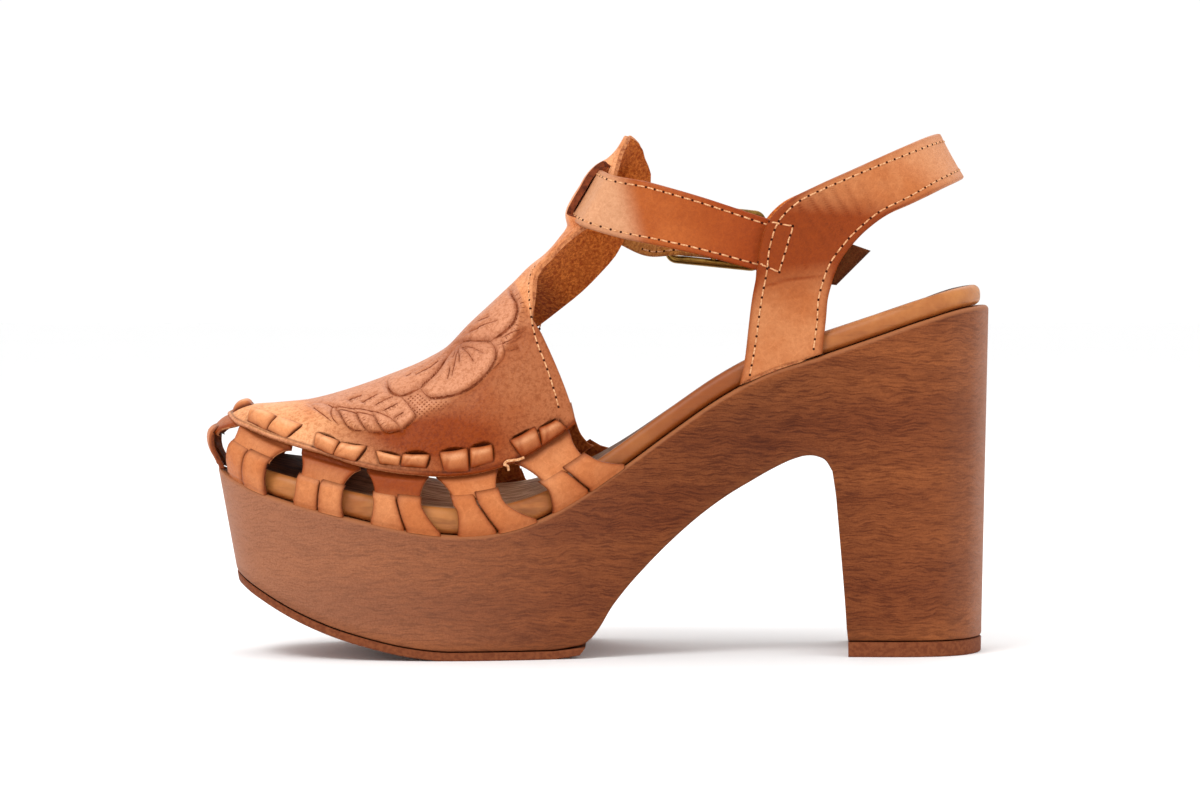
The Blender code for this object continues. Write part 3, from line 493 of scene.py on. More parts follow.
class Look:
    """A procedural material under construction."""

    def __init__(self, name):
        self.material = bpy.data.materials.new(name)
        self.material.use_nodes = True
        self.tree = self.material.node_tree
        self.shader = self.tree.nodes["Principled BSDF"]
        self.place = self.add("ShaderNodeTexCoord").outputs["Object"]
        self.height = None

    def add(self, kind, **settings):
        made = self.tree.nodes.new(kind)
        for key, value in settings.items():
            setattr(made, key, value)
        return made

    def feed(self, socket, value):
        if isinstance(value, bpy.types.NodeSocket):
            self.tree.links.new(value, socket)
        elif isinstance(value, tuple) and len(value) == 3 and socket.type == "RGBA":
            socket.default_value = (*value, 1)
        else:
            socket.default_value = value

    def stretched(self, scale, vector=None):
        made = self.add("ShaderNodeMapping")
        self.feed(made.inputs["Vector"], vector or self.place)
        self.feed(made.inputs["Scale"], scale)
        return made.outputs[0]

    def noise(self, scale, detail=3.0, rough=0.55, distortion=0.0, vector=None):
        made = self.add("ShaderNodeTexNoise")
        self.feed(made.inputs["Vector"], vector or self.place)
        self.feed(made.inputs["Scale"], scale)
        self.feed(made.inputs["Detail"], detail)
        self.feed(made.inputs["Roughness"], rough)
        self.feed(made.inputs["Distortion"], distortion)
        return made.outputs[0]

    def streaks(self, vector, scale, rough):
        """Noise drawn out along the grain."""
        return self.noise(1.0, 5.0, rough, 0.4, self.stretched(scale, vector))

    def cells(self, scale):
        made = self.add("ShaderNodeTexVoronoi", feature="F1")
        self.feed(made.inputs["Vector"], self.place)
        self.feed(made.inputs["Scale"], scale)
        return made.outputs["Distance"]

    def bent(self, wave, reach):
        """The object's places, moved about by a noise."""
        made = self.add("ShaderNodeVectorMath", operation="MULTIPLY_ADD")
        for socket, item in zip(made.inputs, (wave, reach, self.place)):
            self.feed(socket, item)
        return made.outputs[0]

    def wrinkles(self, scale):
        """Distance from the nearest of many thin crossing lines, bent a little."""
        made = self.add("ShaderNodeTexVoronoi", feature="DISTANCE_TO_EDGE")
        self.feed(made.inputs["Vector"], self.bent(self.noise(160.0, 3.0, 0.6), (0.006, 0.006, 0.006)))
        self.feed(made.inputs["Scale"], scale)
        return made.outputs["Distance"]

    def between(self, value, low, high, to_low=0.0, to_high=1.0):
        made = self.add("ShaderNodeMapRange", interpolation_type="SMOOTHSTEP")
        for socket, item in zip(made.inputs, (value, low, high, to_low, to_high)):
            self.feed(socket, item)
        return made.outputs[0]

    def mix(self, share, first, second, blend="MIX"):
        made = self.add("ShaderNodeMix", data_type="RGBA", blend_type=blend)
        self.feed(made.inputs[0], share)
        self.feed(made.inputs[6], first)
        self.feed(made.inputs[7], second)
        return made.outputs[2]

    def tones(self):
        """The painted tones of the piece: burnish, pale carving, dark crevice. On leather the burnish also
        holds painted shade in places, the pale tone a painted highlight on the lacing folds, and the crevice
        tone mostly painted shade.
        """
        made = self.add("ShaderNodeAttribute", attribute_name="tone")
        split = self.add("ShaderNodeSeparateColor")
        self.feed(split.inputs[0], made.outputs["Color"])
        return split.outputs

    def bump(self, height, strength, depth):
        made = self.add("ShaderNodeBump")
        self.feed(made.inputs["Height"], height)
        self.feed(made.inputs["Strength"], strength)
        self.feed(made.inputs["Distance"], depth * MM)
        if self.height is not None:
            self.feed(made.inputs["Normal"], self.height)
        self.height = made.outputs[0]

    def done(self, colour, roughness, **others):
        self.feed(self.shader.inputs["Base Color"], colour)
        self.feed(self.shader.inputs["Roughness"], roughness)
        for key, value in others.items():
            self.feed(self.shader.inputs[key.replace("_", " ")], value)
        if self.height is not None:
            self.feed(self.shader.inputs["Normal"], self.height)
        return self.material


def leather_look(name, pale, tan, burnt, light, grain=1.0, gloss=0.13):
    """Tanned leather with uneven dye, fine grain and soft creases. Less grain shows more fine wrinkles."""
    look = Look(name)
    burnish, carved, crevice = look.tones()[:3]
    cloud = look.noise(38.0, 4.0, 0.6)
    pore = look.noise(820.0, 4.0, 0.72)
    fleck = look.noise(2300.0, 2.0, 0.6)
    wrinkle = look.wrinkles(210.0)
    colour = look.mix(look.between(cloud, 0.36, 0.66), pale, tan)
    # The pale tone is the carved area's colour and, on the lacing folds, a painted highlight; the burnish
    # tone is dye with painted shade in places; the crevice tone is painted shade, and also the vamp's dark
    # seam line
    colour = look.mix(carved, colour, light)
    colour = look.mix(burnish, colour, burnt)
    colour = look.mix(look.between(pore, 0.42, 0.66, 0.0, 0.7 * grain), colour, GRAIN_DARK, "MULTIPLY")
    colour = look.mix(look.between(fleck, 0.48, 0.72, 0.0, 0.6 * grain), colour, GRAIN_LIGHT, "MULTIPLY")
    lines = look.between(wrinkle, 0.07, 0.0, 0.0, max(0.0, 0.8 - 0.7 * grain))
    colour = look.mix(lines, colour, WRINKLE, "MULTIPLY")
    colour = look.mix(crevice, colour, CREVICE_SHADE)
    look.bump(look.cells(1150.0), 0.45 * grain, 0.22)
    look.bump(look.noise(300.0, 5.0, 0.68, 0.5), 0.5, 0.5)
    shine = look.between(look.noise(90.0, 3.0), 0.3, 0.7, 0.42, 0.56)
    return look.done(colour, shine, Specular_IOR_Level=gloss)


def suede_look(name, light, dark):
    """The rough flesh side of the leather, darker where its crevice tone paints shade on it."""
    look = Look(name)
    shade = look.tones()[2]
    nap = look.noise(1000.0, 4.0, 0.75)
    patch = look.noise(70.0, 3.0, 0.6)
    colour = look.mix(look.between(nap, 0.34, 0.68), dark, light)
    colour = look.mix(look.between(patch, 0.35, 0.7, 0.0, 0.3), colour, dark)
    colour = look.mix(shade, colour, CREVICE_SHADE)
    look.bump(nap, 0.7, 0.35)
    return look.done(colour, 0.92, Specular_IOR_Level=0.08, Sheen_Weight=0.1, Sheen_Roughness=0.5)


def wood_look():
    """Stained wood with fine level grain, with a painted sheen that makes it paler and smoother at the toe
    and at the heel's back.
    """
    look = Look("stained_wood")
    bevel, light, dark = look.tones()[:3]
    warped = look.bent(look.noise(70.0, 3.0, 0.6), (0.0, 0.0, 0.005))
    fine = look.streaks(warped, (190.0, 260.0, 1900.0), 0.66)
    coarse = look.streaks(warped, (60.0, 90.0, 520.0), 0.6)
    band = look.streaks(warped, (8.0, 20.0, 60.0), 0.55)
    speck = look.noise(2000.0, 3.0, 0.7)
    colour = look.mix(look.between(band, 0.3, 0.7), WOOD_DEEP, WOOD_WARM)
    colour = look.mix(dark, colour, WOOD_DARK)
    colour = look.mix(look.between(coarse, 0.48, 0.7, 0.0, 0.4), colour, WOOD_GRAIN, "MULTIPLY")
    colour = look.mix(look.between(fine, 0.46, 0.64, 0.0, 0.9), colour, WOOD_GRAIN, "MULTIPLY")
    colour = look.mix(look.between(fine, 0.5, 0.3, 0.0, 1.0), colour, GRAIN_LIGHT, "MULTIPLY")
    # Painted sheen: paler colour at the toe and the heel's back
    colour = look.mix(light, colour, WOOD_TOE_SHEEN)
    colour = look.mix(look.between(fine, 0.46, 0.66, 0.0, 0.25), colour, WOOD_GRAIN, "MULTIPLY")
    colour = look.mix(look.between(speck, 0.45, 0.7, 0.0, 0.5), colour, GRAIN_DARK, "MULTIPLY")
    colour = look.mix(look.between(speck, 0.5, 0.3, 0.0, 0.5), colour, GRAIN_LIGHT, "MULTIPLY")
    colour = look.mix(bevel, colour, WOOD_BEVEL)
    look.bump(fine, 0.6, 0.2)
    shine = look.between(coarse, 0.3, 0.7, 0.5, 0.62)
    return look.done(colour, shine, Specular_IOR_Level=0.14)


def speckled_look(name, noise, high, first, second, bump, roughness, gloss):
    """A plain look: one noise between two colours and as a bump."""
    look = Look(name)
    speck = look.noise(*noise)
    colour = look.mix(look.between(speck, 0.35, high), first, second)
    if bump:
        look.bump(speck, *bump)
    return look.done(colour, roughness, Specular_IOR_Level=gloss)


def rim_look():
    """Ochre leather wrapped round the footbed's edge, browner in the waist."""
    look = Look("footbed_edge")
    burnish = look.tones()[0]
    cloud = look.noise(55.0, 4.0, 0.6)
    colour = look.mix(look.between(cloud, 0.3, 0.68), srgb(192, 124, 64), srgb(158, 90, 40))
    colour = look.mix(burnish, colour, srgb(128, 57, 6))
    fold = look.noise(1.0, 3.0, 0.6, 0.4, look.stretched((60.0, 60.0, 420.0)))
    colour = look.mix(look.between(fold, 0.5, 0.72, 0.0, 0.5), colour, srgb(112, 58, 22))
    look.bump(look.cells(900.0), 0.2, 0.15)
    look.bump(fold, 0.45, 0.4)
    return look.done(colour, 0.46, Specular_IOR_Level=0.32)


def sock_look():
    """Dark sock of the footbed with long streaks, greyer towards the ball of the foot."""
    look = Look("footbed_sock")
    grey = look.tones()[1]
    streak = look.noise(1.0, 5.0, 0.65, 0.4, look.stretched((60.0, 420.0, 620.0)))
    near = look.mix(look.between(streak, 0.35, 0.68), srgb(52, 28, 16), srgb(112, 72, 48))
    far = look.mix(look.between(streak, 0.35, 0.68), srgb(152, 106, 74), srgb(232, 190, 152))
    colour = look.mix(grey, near, far)
    look.bump(streak, 0.4, 0.25)
    return look.done(colour, 0.7, Specular_IOR_Level=0.1)


def brass_look():
    look = Look("old_brass")
    wear = look.noise(260.0, 4.0, 0.6)
    colour = look.mix(look.between(wear, 0.35, 0.7), srgb(150, 114, 54), srgb(98, 70, 30))
    look.bump(wear, 0.2, 0.1)
    shine = look.between(wear, 0.3, 0.7, 0.3, 0.46)
    return look.done(colour, shine, Metallic=1.0)


# Dark discs of painted shade where the needle holes and buckle holes are
def hole_shade_look():
    look = Look("hole_shade_paint")
    speck = look.noise(2400.0, 2.0)
    colour = look.mix(speck, srgb(40, 14, 6), srgb(66, 26, 12))
    return look.done(colour, 0.85, Specular_IOR_Level=0.1)


CARVED = srgb(210, 145, 110)
STRAP_LIGHT = srgb(206, 151, 112)
# Dark brown of the crevice tone: painted shade in cuts, slots, round lacing folds, under the vamp's edge and
# on inner faces; also the vamp's dark seam line and the strap tip's darker flesh side
CREVICE_SHADE = srgb(66, 22, 6)
# Factors that darken or lighten a colour in the grain of leather and wood
GRAIN_DARK = (0.7, 0.58, 0.46)
GRAIN_LIGHT = (1.22, 1.26, 1.3)
WRINKLE = (1.14, 1.2, 1.26)
WOOD_GRAIN = (0.6, 0.5, 0.4)
WOOD_DARK = srgb(58, 25, 10)
WOOD_DEEP = srgb(106, 50, 20)
WOOD_WARM = srgb(134, 72, 34)
WOOD_TOE_SHEEN = srgb(162, 109, 82)
WOOD_BEVEL = srgb(160, 100, 62)

LEATHER = leather_look("tan_leather", srgb(236, 168, 118), srgb(208, 131, 82), srgb(132, 54, 8), CARVED, 1.25)
# Its pale colour is the painted highlight on the lacing folds
TAB_LEATHER = leather_look(
    "tab_leather", srgb(226, 150, 96), srgb(204, 122, 68), srgb(136, 56, 6), srgb(240, 180, 134), 0.5, 0.2
)
STRAP_LEATHER = leather_look(
    "strap_leather", srgb(176, 92, 38), srgb(158, 75, 23), srgb(142, 54, 2), STRAP_LIGHT, 0.5, 0.17
)
SLING_LEATHER = leather_look(
    "sling_leather", srgb(228, 156, 102), srgb(204, 124, 70), srgb(132, 52, 2), srgb(206, 141, 100), 0.5, 0.17
)
SUEDE = suede_look("leather_flesh_side", srgb(226, 130, 56), srgb(154, 66, 18))
DARK_SUEDE = suede_look("strap_flesh_side", srgb(206, 138, 70), srgb(150, 86, 36))
WOOD = wood_look()
RUBBER = speckled_look(
    "tread_rubber", (900.0, 3.0, 0.6), 0.65, srgb(108, 54, 29), srgb(128, 70, 40), (0.4, 0.2), 0.75, 0.15
)
RIM = rim_look()
SOCK = sock_look()
FIBRE = (760.0, 4.0, 0.65)
FIBRE_BUMP = (0.5, 0.25)
CUT_EDGE = speckled_look(
    "cut_edge", FIBRE, 0.7, srgb(196, 124, 76), srgb(134, 66, 32), FIBRE_BUMP, 0.72, 0.25
)
# Cut edge darkened with painted shade, for the walls of the T-strap's slits and the sides of the tab loops
EDGE_SHADE = speckled_look(
    "edge_shade_paint", FIBRE, 0.7, srgb(136, 66, 34), srgb(86, 36, 16), FIBRE_BUMP, 0.72, 0.2
)
BRASS = brass_look()
THREAD = speckled_look(
    "pale_thread", (1800.0, 2.0, 0.5), 0.65, srgb(230, 176, 130), srgb(192, 128, 82), (0.5, 0.12), 0.65, 0.15
)
HOLE = hole_shade_look()
# Dark strips and dots of painted shadow in the carved lines and the matted ground's marks
GROOVE_SHADOW = speckled_look(
    "groove_shadow_paint", (400.0, 3.0, 0.6), 0.65, srgb(112, 54, 30), srgb(150, 84, 54), None, 0.8, 0.08
)


# Sole


def tread_line(x):
    """The forefoot's tread, flat on the floor where it rests."""
    return max(0.0, float(lookup(ROCKER, x)))


def sole_under(x):
    """Underside of the wood, above the rubber where there is rubber."""
    if x <= TREAD_END[0]:
        return tread_line(x) + OUTSOLE_THICK + GAP
    if x <= ARCH[-1][0]:
        joined = ((TREAD_END[0], TREAD_END[1] + OUTSOLE_THICK + GAP),) + ARCH
        return float(lookup(joined, x))
    if x < BREAST[-1][0]:
        return float(straight((ARCH[-1],) + BREAST, x))
    return TOP_LIFT_THICK + GAP


def wall_point(side, x, z, inset=0.0):
    """A point on the sole's leaning side wall at height z."""
    lean = float(lookup(DRAFT, x)) * max(0.0, float(wood_top(x)) - z)
    plan = edge_at(side, x, inset + lean)
    return np.array([plan[0], plan[1], z])


def low_height(side, x, height):
    """Height of the leaning wall's foot, where it meets a line whose height is given by x."""
    z = height(x)
    for _ in range(3):
        z = height(wall_point(side, x, z)[0])
    return z


def station(side, x):
    """Where a section that is at x on the medial side meets one of the sides."""
    return x + float(lookup(SETBACK, x)) if side == "lateral" else x


def spread(start, end, count, ends):
    """Stations packed closer towards a rounded end."""
    t = np.linspace(0, 1, count)
    if ends == "start":
        t = 1 - np.cos(np.pi / 2 * t)
    if ends == "end":
        t = np.sin(np.pi / 2 * t)
    return start + (end - start) * t


def add_loft(builder, rings, slots, tone=None):
    """A closed solid through rings of equal length, with flat ends. slots: material of each ring segment."""
    rings = np.array(rings)
    count = rings.shape[1]
    ids = builder.add_points(rings, tone).reshape(rings.shape[:2])
    for j in range(count):
        builder.add_grid(ids[:, [j, (j + 1) % count]], slots[j])
    builder.add_face(ids[0], slots[0])
    builder.add_face(ids[-1][::-1], slots[0])


def add_zipped_loft(builder, rings, slots, tone):
    """A loft through rings that run down one side and up the other, each end closed to a seam of points."""
    count = rings.shape[1]
    half = count // 2
    ids = np.zeros(rings.shape[:2], int)
    ids[1:-1] = builder.add_points(rings[1:-1], tone[1:-1]).reshape(-1, count)
    for end in (0, -1):
        seam = 0.5 * (rings[end] + rings[end][::-1])
        own = builder.add_points(seam[: count - half], tone[end, : count - half])
        ids[end] = np.r_[own, own[:half][::-1]]
    for j in range(count):
        pair = ids[:, [j, (j + 1) % count]]
        if pair[0, 0] != pair[0, 1]:
            builder.add_grid(pair, slots[j])
            continue
        builder.add_grid(pair[1:-1], slots[j])
        builder.add_face([pair[0, 0], pair[1, 0], pair[1, 1]], slots[j])
        builder.add_face([pair[-2, 0], pair[-1, 0], pair[-2, 1]], slots[j])


# Rounding of the wood's upper edge: inset, drop, share of the pale bevel
TOP_ROUND = ((1.5, 0.0, 0.9), (1.0, 0.12, 0.9), (0.45, 0.5, 0.75), (0.12, 1.0, 0.4), (0.0, 1.5, 0.0))
LOW_ROUND = ((0.0, 0.9), (0.12, 0.4), (0.4, 0.12), (0.9, 0.0))
WALL_ROWS = 12
# Stations of the sole's sections: end of the crowded front, the breast one by one, start of the heel
FRONT_END = -60.0
BREAST_STATIONS = (72.2, 73.0, 73.6, 74.2, 74.7, 75.1)
HEEL_START = 76.2
# Share of the painted sheen and of the darker colour along the wood: x, pale, dark
WOOD_SHEEN_AND_DARKENING = (
    (-121.0, 1.0, 0.0), (-105.0, 0.7, 0.0), (-62.0, 0.42, 0.0), (-12.0, 0.1, 0.0), (20.0, 0.0, 0.2),
    (46.0, 0.0, 0.36), (72.0, 0.0, 0.2), (92.0, 0.02, 0.04), (104.0, 0.06, 0.0), (113.0, 0.22, 0.0),
    (118.0, 0.6, 0.0), (121.0, 0.8, 0.0),
)


def wood_ring(x):
    ring, tone = [], []
    # pale is the share of the painted sheen, dark the share of the darker colour
    pale = float(straight(WOOD_SHEEN_AND_DARKENING, x, 1))
    dark = float(straight(WOOD_SHEEN_AND_DARKENING, x, 2))
    for side in SIDES_OF_SHOE:
        at = station(side, x)
        top = float(wood_top(at))
        low = low_height(side, at, lambda place: sole_under(place - at + x))
        column = []
        for inset, drop, bevel in TOP_ROUND:
            point = wall_point(side, at, top - drop, inset)
            point[2] = float(wood_top(point[0])) - drop
            column.append((point, (bevel, pale, 0.4 * dark)))
        start = top - TOP_ROUND[-1][1]
        end = low + LOW_ROUND[0][1]
        for share in np.linspace(0, 1, WALL_ROWS + 2)[1:-1]:
            column.append((wall_point(side, at, start + (end - start) * share), (0.0, pale, dark)))
        for inset, rise in LOW_ROUND:
            column.append((wall_point(side, at, low + rise, inset), (0.1, 0.6 * pale, dark)))
        column = column if side == "medial" else column[::-1]
        ring += [point for point, _ in column]
        tone += [colour for _, colour in column]
    return ring, tone


def build_wood():
    front = spread(TOE_X + 0.05, FRONT_END, 70, "start")
    middle = np.linspace(FRONT_END + 1.0, 67.0, 120)
    breast = np.r_[np.linspace(67.6, BREAST[0][0], 14), BREAST_STATIONS]
    heel = spread(HEEL_START, HEEL_X - 0.04, 60, "end")
    rings = [wood_ring(x) for x in np.r_[front, middle, breast, heel]]
    builder = Builder()
    places = np.array([ring for ring, _ in rings])
    tone = np.array([colour for _, colour in rings])
    add_zipped_loft(builder, places, [0] * places.shape[1], tone)
    piece = builder.finish("carved_sole", [WOOD], "sole_wood", 40.0)
    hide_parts("platform_sole")


RUBBER_EASE = 0.35


def rubber_ring(x, low, high):
    """Section of a rubber piece between two heights, with its edges eased."""
    ring = []
    for side in SIDES_OF_SHOE:
        at = station(side, x)
        under = low_height(side, at, low)
        over = low_height(side, at, high)
        column = [
            wall_point(side, at, over, RUBBER_EASE),
            wall_point(side, at, over - RUBBER_EASE),
            wall_point(side, at, 0.5 * (over + under)),
            wall_point(side, at, under + RUBBER_EASE),
            wall_point(side, at, under, RUBBER_EASE),
        ]
        ring += column if side == "medial" else column[::-1]
    return ring


# Slant of the tread's rear end: x where it starts, its reach, and its lean per millimetre of height
SLANT_START = -14.0
SLANT_REACH = 7.6
SLANT = 0.8


def slanted_end(ring):
    """A tread section whose upper points lean back near the tread's rear end, to follow the arch."""
    leaned = []
    for point in ring:
        share = part((point[0] - SLANT_START) / SLANT_REACH)
        leaned.append(point + np.array([SLANT * share * point[2], 0.0, 0.0]))
    return leaned


def build_rubber():
    stations = np.r_[spread(TOE_X + 0.05, -50.0, 60, "start"), np.linspace(-49.0, -6.4, 40)]
    rings = [rubber_ring(x, tread_line, lambda at: tread_line(at) + OUTSOLE_THICK) for x in stations]
    piece = finish_rubber([slanted_end(ring) for ring in rings], "forefoot_tread", "tread")
    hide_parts("outsole_forefoot")
    stations = np.r_[75.2, spread(HEEL_START, HEEL_X - 0.04, 60, "end")]
    rings = [rubber_ring(x, lambda at: 0.0, lambda at: TOP_LIFT_THICK) for x in stations]
    piece = finish_rubber(rings, "heel_tip", "top_lift")
    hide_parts("heel_top_lift")


def finish_rubber(rings, name, slot):
    builder = Builder()
    add_loft(builder, rings, [0] * len(rings[0]))
    return builder.finish(name, [RUBBER], slot, 40.0)


def footbed_profile():
    """Rolled edge as a smooth run of (inset, share of thickness), then the sock's own inset."""
    rows = np.array(ROLLED_EDGE)
    at = running_length(rows * (1, 6))
    fine = hermite(at, rows, np.linspace(0, at[-1], 22))
    return [tuple(row) for row in fine]


TOP_SHARES = (0.06, 0.16, 0.3, 0.5, 0.75)
# Share of the grey on the sock along the shoe: x, share
SOCK_GREY = (
    (-120.0, 0.0), (-78.0, 0.0), (-62.0, 0.75), (-30.0, 1.0), (-12.0, 0.5), (10.0, 0.1), (121.0, 0.0),
)
# Share of the brown on the footbed's edge along the shoe: x, share
RIM_BROWN = (
    (-121.0, 0.0), (-20.0, 0.1), (0.0, 0.5), (25.0, 0.8),
    (45.0, 0.75), (60.0, 0.3), (75.0, 0.0), (121.0, 0.0),
)
# Extra dip of the footbed's lateral edge at the heel: x, dip
HEEL_DIP = ((-121.0, 0.0), (30.0, 0.0), (45.0, 0.4), (62.0, 1.6), (100.0, 1.8), (116.0, 0.4), (121.0, 0.0))


def footbed_ring(x, profile):
    thick = float(lookup(FOOTBED, x))
    cant = float(lookup(CANT, x)) + float(straight(HEEL_DIP, x))
    columns = []
    for side in SIDES_OF_SHOE:
        column = []
        for inset, share in profile:
            plan = edge_at(side, x, LEDGE + inset)
            level = float(wood_top(plan[0])) + GAP + share * (thick - cant * (side == "lateral"))
            column.append(np.array([plan[0], plan[1], level]))
        columns.append(column)
    near, far = columns[0][-1], columns[1][-1]
    width = np.linalg.norm(near - far)
    dish = DISH * min(1.0, width / 45.0)
    middle = []
    for t in TOP_SHARES[:-1] + tuple(1 - s for s in TOP_SHARES[::-1]):
        point = near + (far - near) * t
        point[2] -= dish * (1 - (2 * t - 1) ** 2)
        middle.append(point)
    return columns[0] + middle + columns[1][::-1]


def build_footbed():
    profile = footbed_profile()
    front = spread(TOE_X + 0.06, FRONT_END, 60, "start")
    stations = np.r_[front, np.linspace(-58.5, 90.0, 110), spread(91.0, HEEL_X - 0.06, 50, "end")]
    rings = np.array([footbed_ring(x, profile) for x in stations])
    rim = [0 if inset < SOCK_INSET or share < 0.5 else 1 for inset, share in profile]
    slots = rim + [1] * (len(TOP_SHARES) * 2 - 2) + rim[::-1]
    slots = slots[: rings.shape[1] - 1] + [0]
    tone = np.zeros(rings.shape)
    for channel, table in ((0, RIM_BROWN), (1, SOCK_GREY)):
        tone[..., channel] = straight(table, rings[..., 0])
    builder = Builder()
    add_zipped_loft(builder, rings, slots, tone)
    piece = builder.finish("footbed", [RIM, SOCK], "footbed", 60.0)
    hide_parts("insole")


# Upper


def column_curve(side, distance):
    """Inside of the upper from the wood's ledge up to the ridge, as points with their run."""
    reach = LATERAL_REACH if side == "lateral" else 1.0
    rows = np.array(COLUMNS)
    ridge_x = straight(COLUMNS, distance)
    full, _, bulge, sweep = hermite(rows[:, 0], rows[:, 2:], distance)
    ridge = ridge_point(ridge_x)
    plan = feather_at(side, distance * reach, LEDGE - GAP)
    outer = feather_at(side, distance * reach, 0.0)
    base = max(float(wood_top(plan[0])), float(wood_top(outer[0]))) + GAP
    angle = np.linspace(0, np.pi / 2, 241)
    out = np.cos(angle) ** (2 / full)
    up = np.sin(angle) ** (2 / full)
    points = np.empty((len(angle), 3))
    points[:, 0] = ridge[0] + (plan[0] - ridge[0]) * out**sweep
    points[:, 1] = ridge[1] + (plan[1] - ridge[1]) * out
    points[:, 2] = base + (ridge[2] - base) * up
    outward = unit(plan - ridge[:2])
    height = part((points[:, 2] - base) / BULGE_HEIGHT)
    points[:, :2] += outward * (bulge * np.sin(np.pi * height) ** 2)[:, None]
    return points, running_length(points), base


def ridge_point(ridge_x):
    rows = np.array(RIDGE)
    return np.array([ridge_x, *hermite(rows[:, 0], rows[:, 1:], ridge_x)])


RUN_STEP = 0.25
RUN_COUNT = 420
DISTANCES = np.arange(0, 146.01, 0.5)


def column_table(side):
    """Every column of one side at even steps, with its run at the vamp's edge and its whole run."""
    rows = np.array(COLUMNS)
    runs = np.arange(RUN_COUNT) * RUN_STEP
    table, edges, wholes = [], [], []
    for distance in DISTANCES:
        points, run, base = column_curve(side, distance)
        table.append(along_path(runs, run, points))
        height = float(hermite(rows[:, 0], rows[:, 3], distance))
        edges.append(float(np.interp(height, points[:, 2] - base, run)))
        wholes.append(run[-1])
    return np.array(table), np.array(edges), np.array(wholes)


TABLE = {side: column_table(side) for side in SIDES_OF_SHOE}
OTHER = {"medial": "lateral", "lateral": "medial"}


def sample(side, distance, run):
    grid = TABLE[side][0]
    u = np.clip(distance / (DISTANCES[1] - DISTANCES[0]), 0, grid.shape[0] - 1.001)
    v = np.clip(run / RUN_STEP, 0, grid.shape[1] - 1.001)
    i, j = u.astype(int), v.astype(int)
    fu, fv = (u - i)[..., None], (v - j)[..., None]
    low = grid[i, j] * (1 - fu) + grid[i + 1, j] * fu
    high = grid[i, j + 1] * (1 - fu) + grid[i + 1, j + 1] * fu
    return low * (1 - fv) + high * fv


def surface(side, distance, run):
    """Point of the upper's inside. A negative distance is on the other side of the toe."""
    distance, run = np.broadcast_arrays(np.asarray(distance, float), np.asarray(run, float))
    here = sample(side, np.maximum(distance, 0), run)
    there = sample(OTHER[side], np.maximum(-distance, 0), run)
    return np.where((distance >= 0)[..., None], here, there)


def surface_normal(side, distance, run, reach=0.8):
    along = surface(side, distance + reach, run) - surface(side, distance - reach, run)
    up = surface(side, distance, run + reach) - surface(side, distance, np.maximum(run - reach, 0))
    normal = unit(np.cross(along, up))
    return normal if side == "medial" else -normal


def rim_run(side, distance):
    """Run along the column from the ledge up to the vamp's lower edge."""
    return np.interp(np.abs(distance), DISTANCES, TABLE[side][1])


def edge_run(side, distance):
    """Run along the column up to the lower edge as it is seen."""
    return rim_run(side, distance) + straight(EDGE_RISE, np.abs(distance))


LOW_ROWS = 80
TOP_ROWS = 48
FRONT_COLUMNS = 60
CARVED_COLUMNS = 240
CARVING_START = 40.0
FINE_COLUMNS = FRONT_COLUMNS + CARVED_COLUMNS
COARSE = 4
T_STEPS = 8
VISUAL_BRIDGE = 4.9
# Share of the bridge's rise and half width of its foot at each T-strap row, eased more than in the solid
BRIDGE_EASE = (
    (0.0, 1.0), (0.0, 1.0), (0.04, 1.0), (0.3, 0.85), (0.86, 0.62), (1.0, 0.6),
    (1.0, 0.6), (1.0, 0.6), (0.85, 0.6), (0.3, 0.75), (0.03, 1.0), (0.0, 1.0),
)
# Coarse rows of the T-strap that its near and far slits take up, where the ankle strap passes
SLIT_SPAN = ((10, 19), (11, 18))
# Heights between which the slits lie, their middle across the shoe and their reach from it
SLIT_LOW = 130.0
SLIT_HIGH = 150.0
SLIT_MIDDLE = -5.0
SLIT_HALF = 8.6


def vamp_grid(side):
    """Fine points of one half of the vamp: columns from the toe, rows from the edge to the ridge."""
    front = np.linspace(0, CARVING_START, FRONT_COLUMNS + 1)
    distance = np.r_[front, np.linspace(CARVING_START, REAR_COLUMN, CARVED_COLUMNS + 1)[1:]]
    low = edge_run(side, distance)
    whole = np.interp(distance, DISTANCES, TABLE[side][2])
    half = np.minimum(T_BASE_HALF[side], T_BASE_SHARE * (whole - low))
    lower = low[:, None] + (whole - half - low)[:, None] * np.linspace(0, 1, LOW_ROWS + 1)
    upper = (whole - half)[:, None] + half[:, None] * np.linspace(0, 1, TOP_ROWS + 1)[1:]
    run = np.hstack([lower, upper])
    fade = part(1 - np.arange(LOW_ROWS + TOP_ROWS + 1) / LOW_ROWS)
    ramp = part((distance - FLARE_START) / (REAR_COLUMN - FLARE_START)) ** 2
    placed = distance[:, None] + REAR_FLARE[side] * ramp[:, None] * fade
    points = surface(side, placed, run)
    points[:, -1] = [ridge_point(straight(COLUMNS, d)) for d in distance]
    return points, placed, run, run - low[:, None]


def t_strap_point(row, across, lift):
    """Point of the T-strap at a share across it, from -1 at its near edge to 1 at its far edge."""
    x, z, slope, y, near_side, near_drop, far_side, far_drop = T_STRAP[row]
    slope = math.radians(slope)
    down = np.array([math.sin(slope), 0.0, -math.cos(slope)])
    side, drop = (near_side, near_drop) if across < 0 else (far_side, far_drop)
    share = abs(across)
    point = np.array([x, y + side * across, z]) + down * drop * (0.35 * share + 0.65 * share**2)
    tilt = drop * (0.35 + 1.3 * share) / side
    outward = unit(np.array([0, math.copysign(tilt, across), 0]) - down)
    return point + outward * lift


def t_across(row):
    even = np.linspace(-1, 1, 9)
    split = np.array([-1, -SLIT_OUTER, -SLIT_INNER, -0.25, 0, 0.25, SLIT_INNER, SLIT_OUTER, 1])
    share = min(1.0, row / 2)
    return even + (split - even) * share


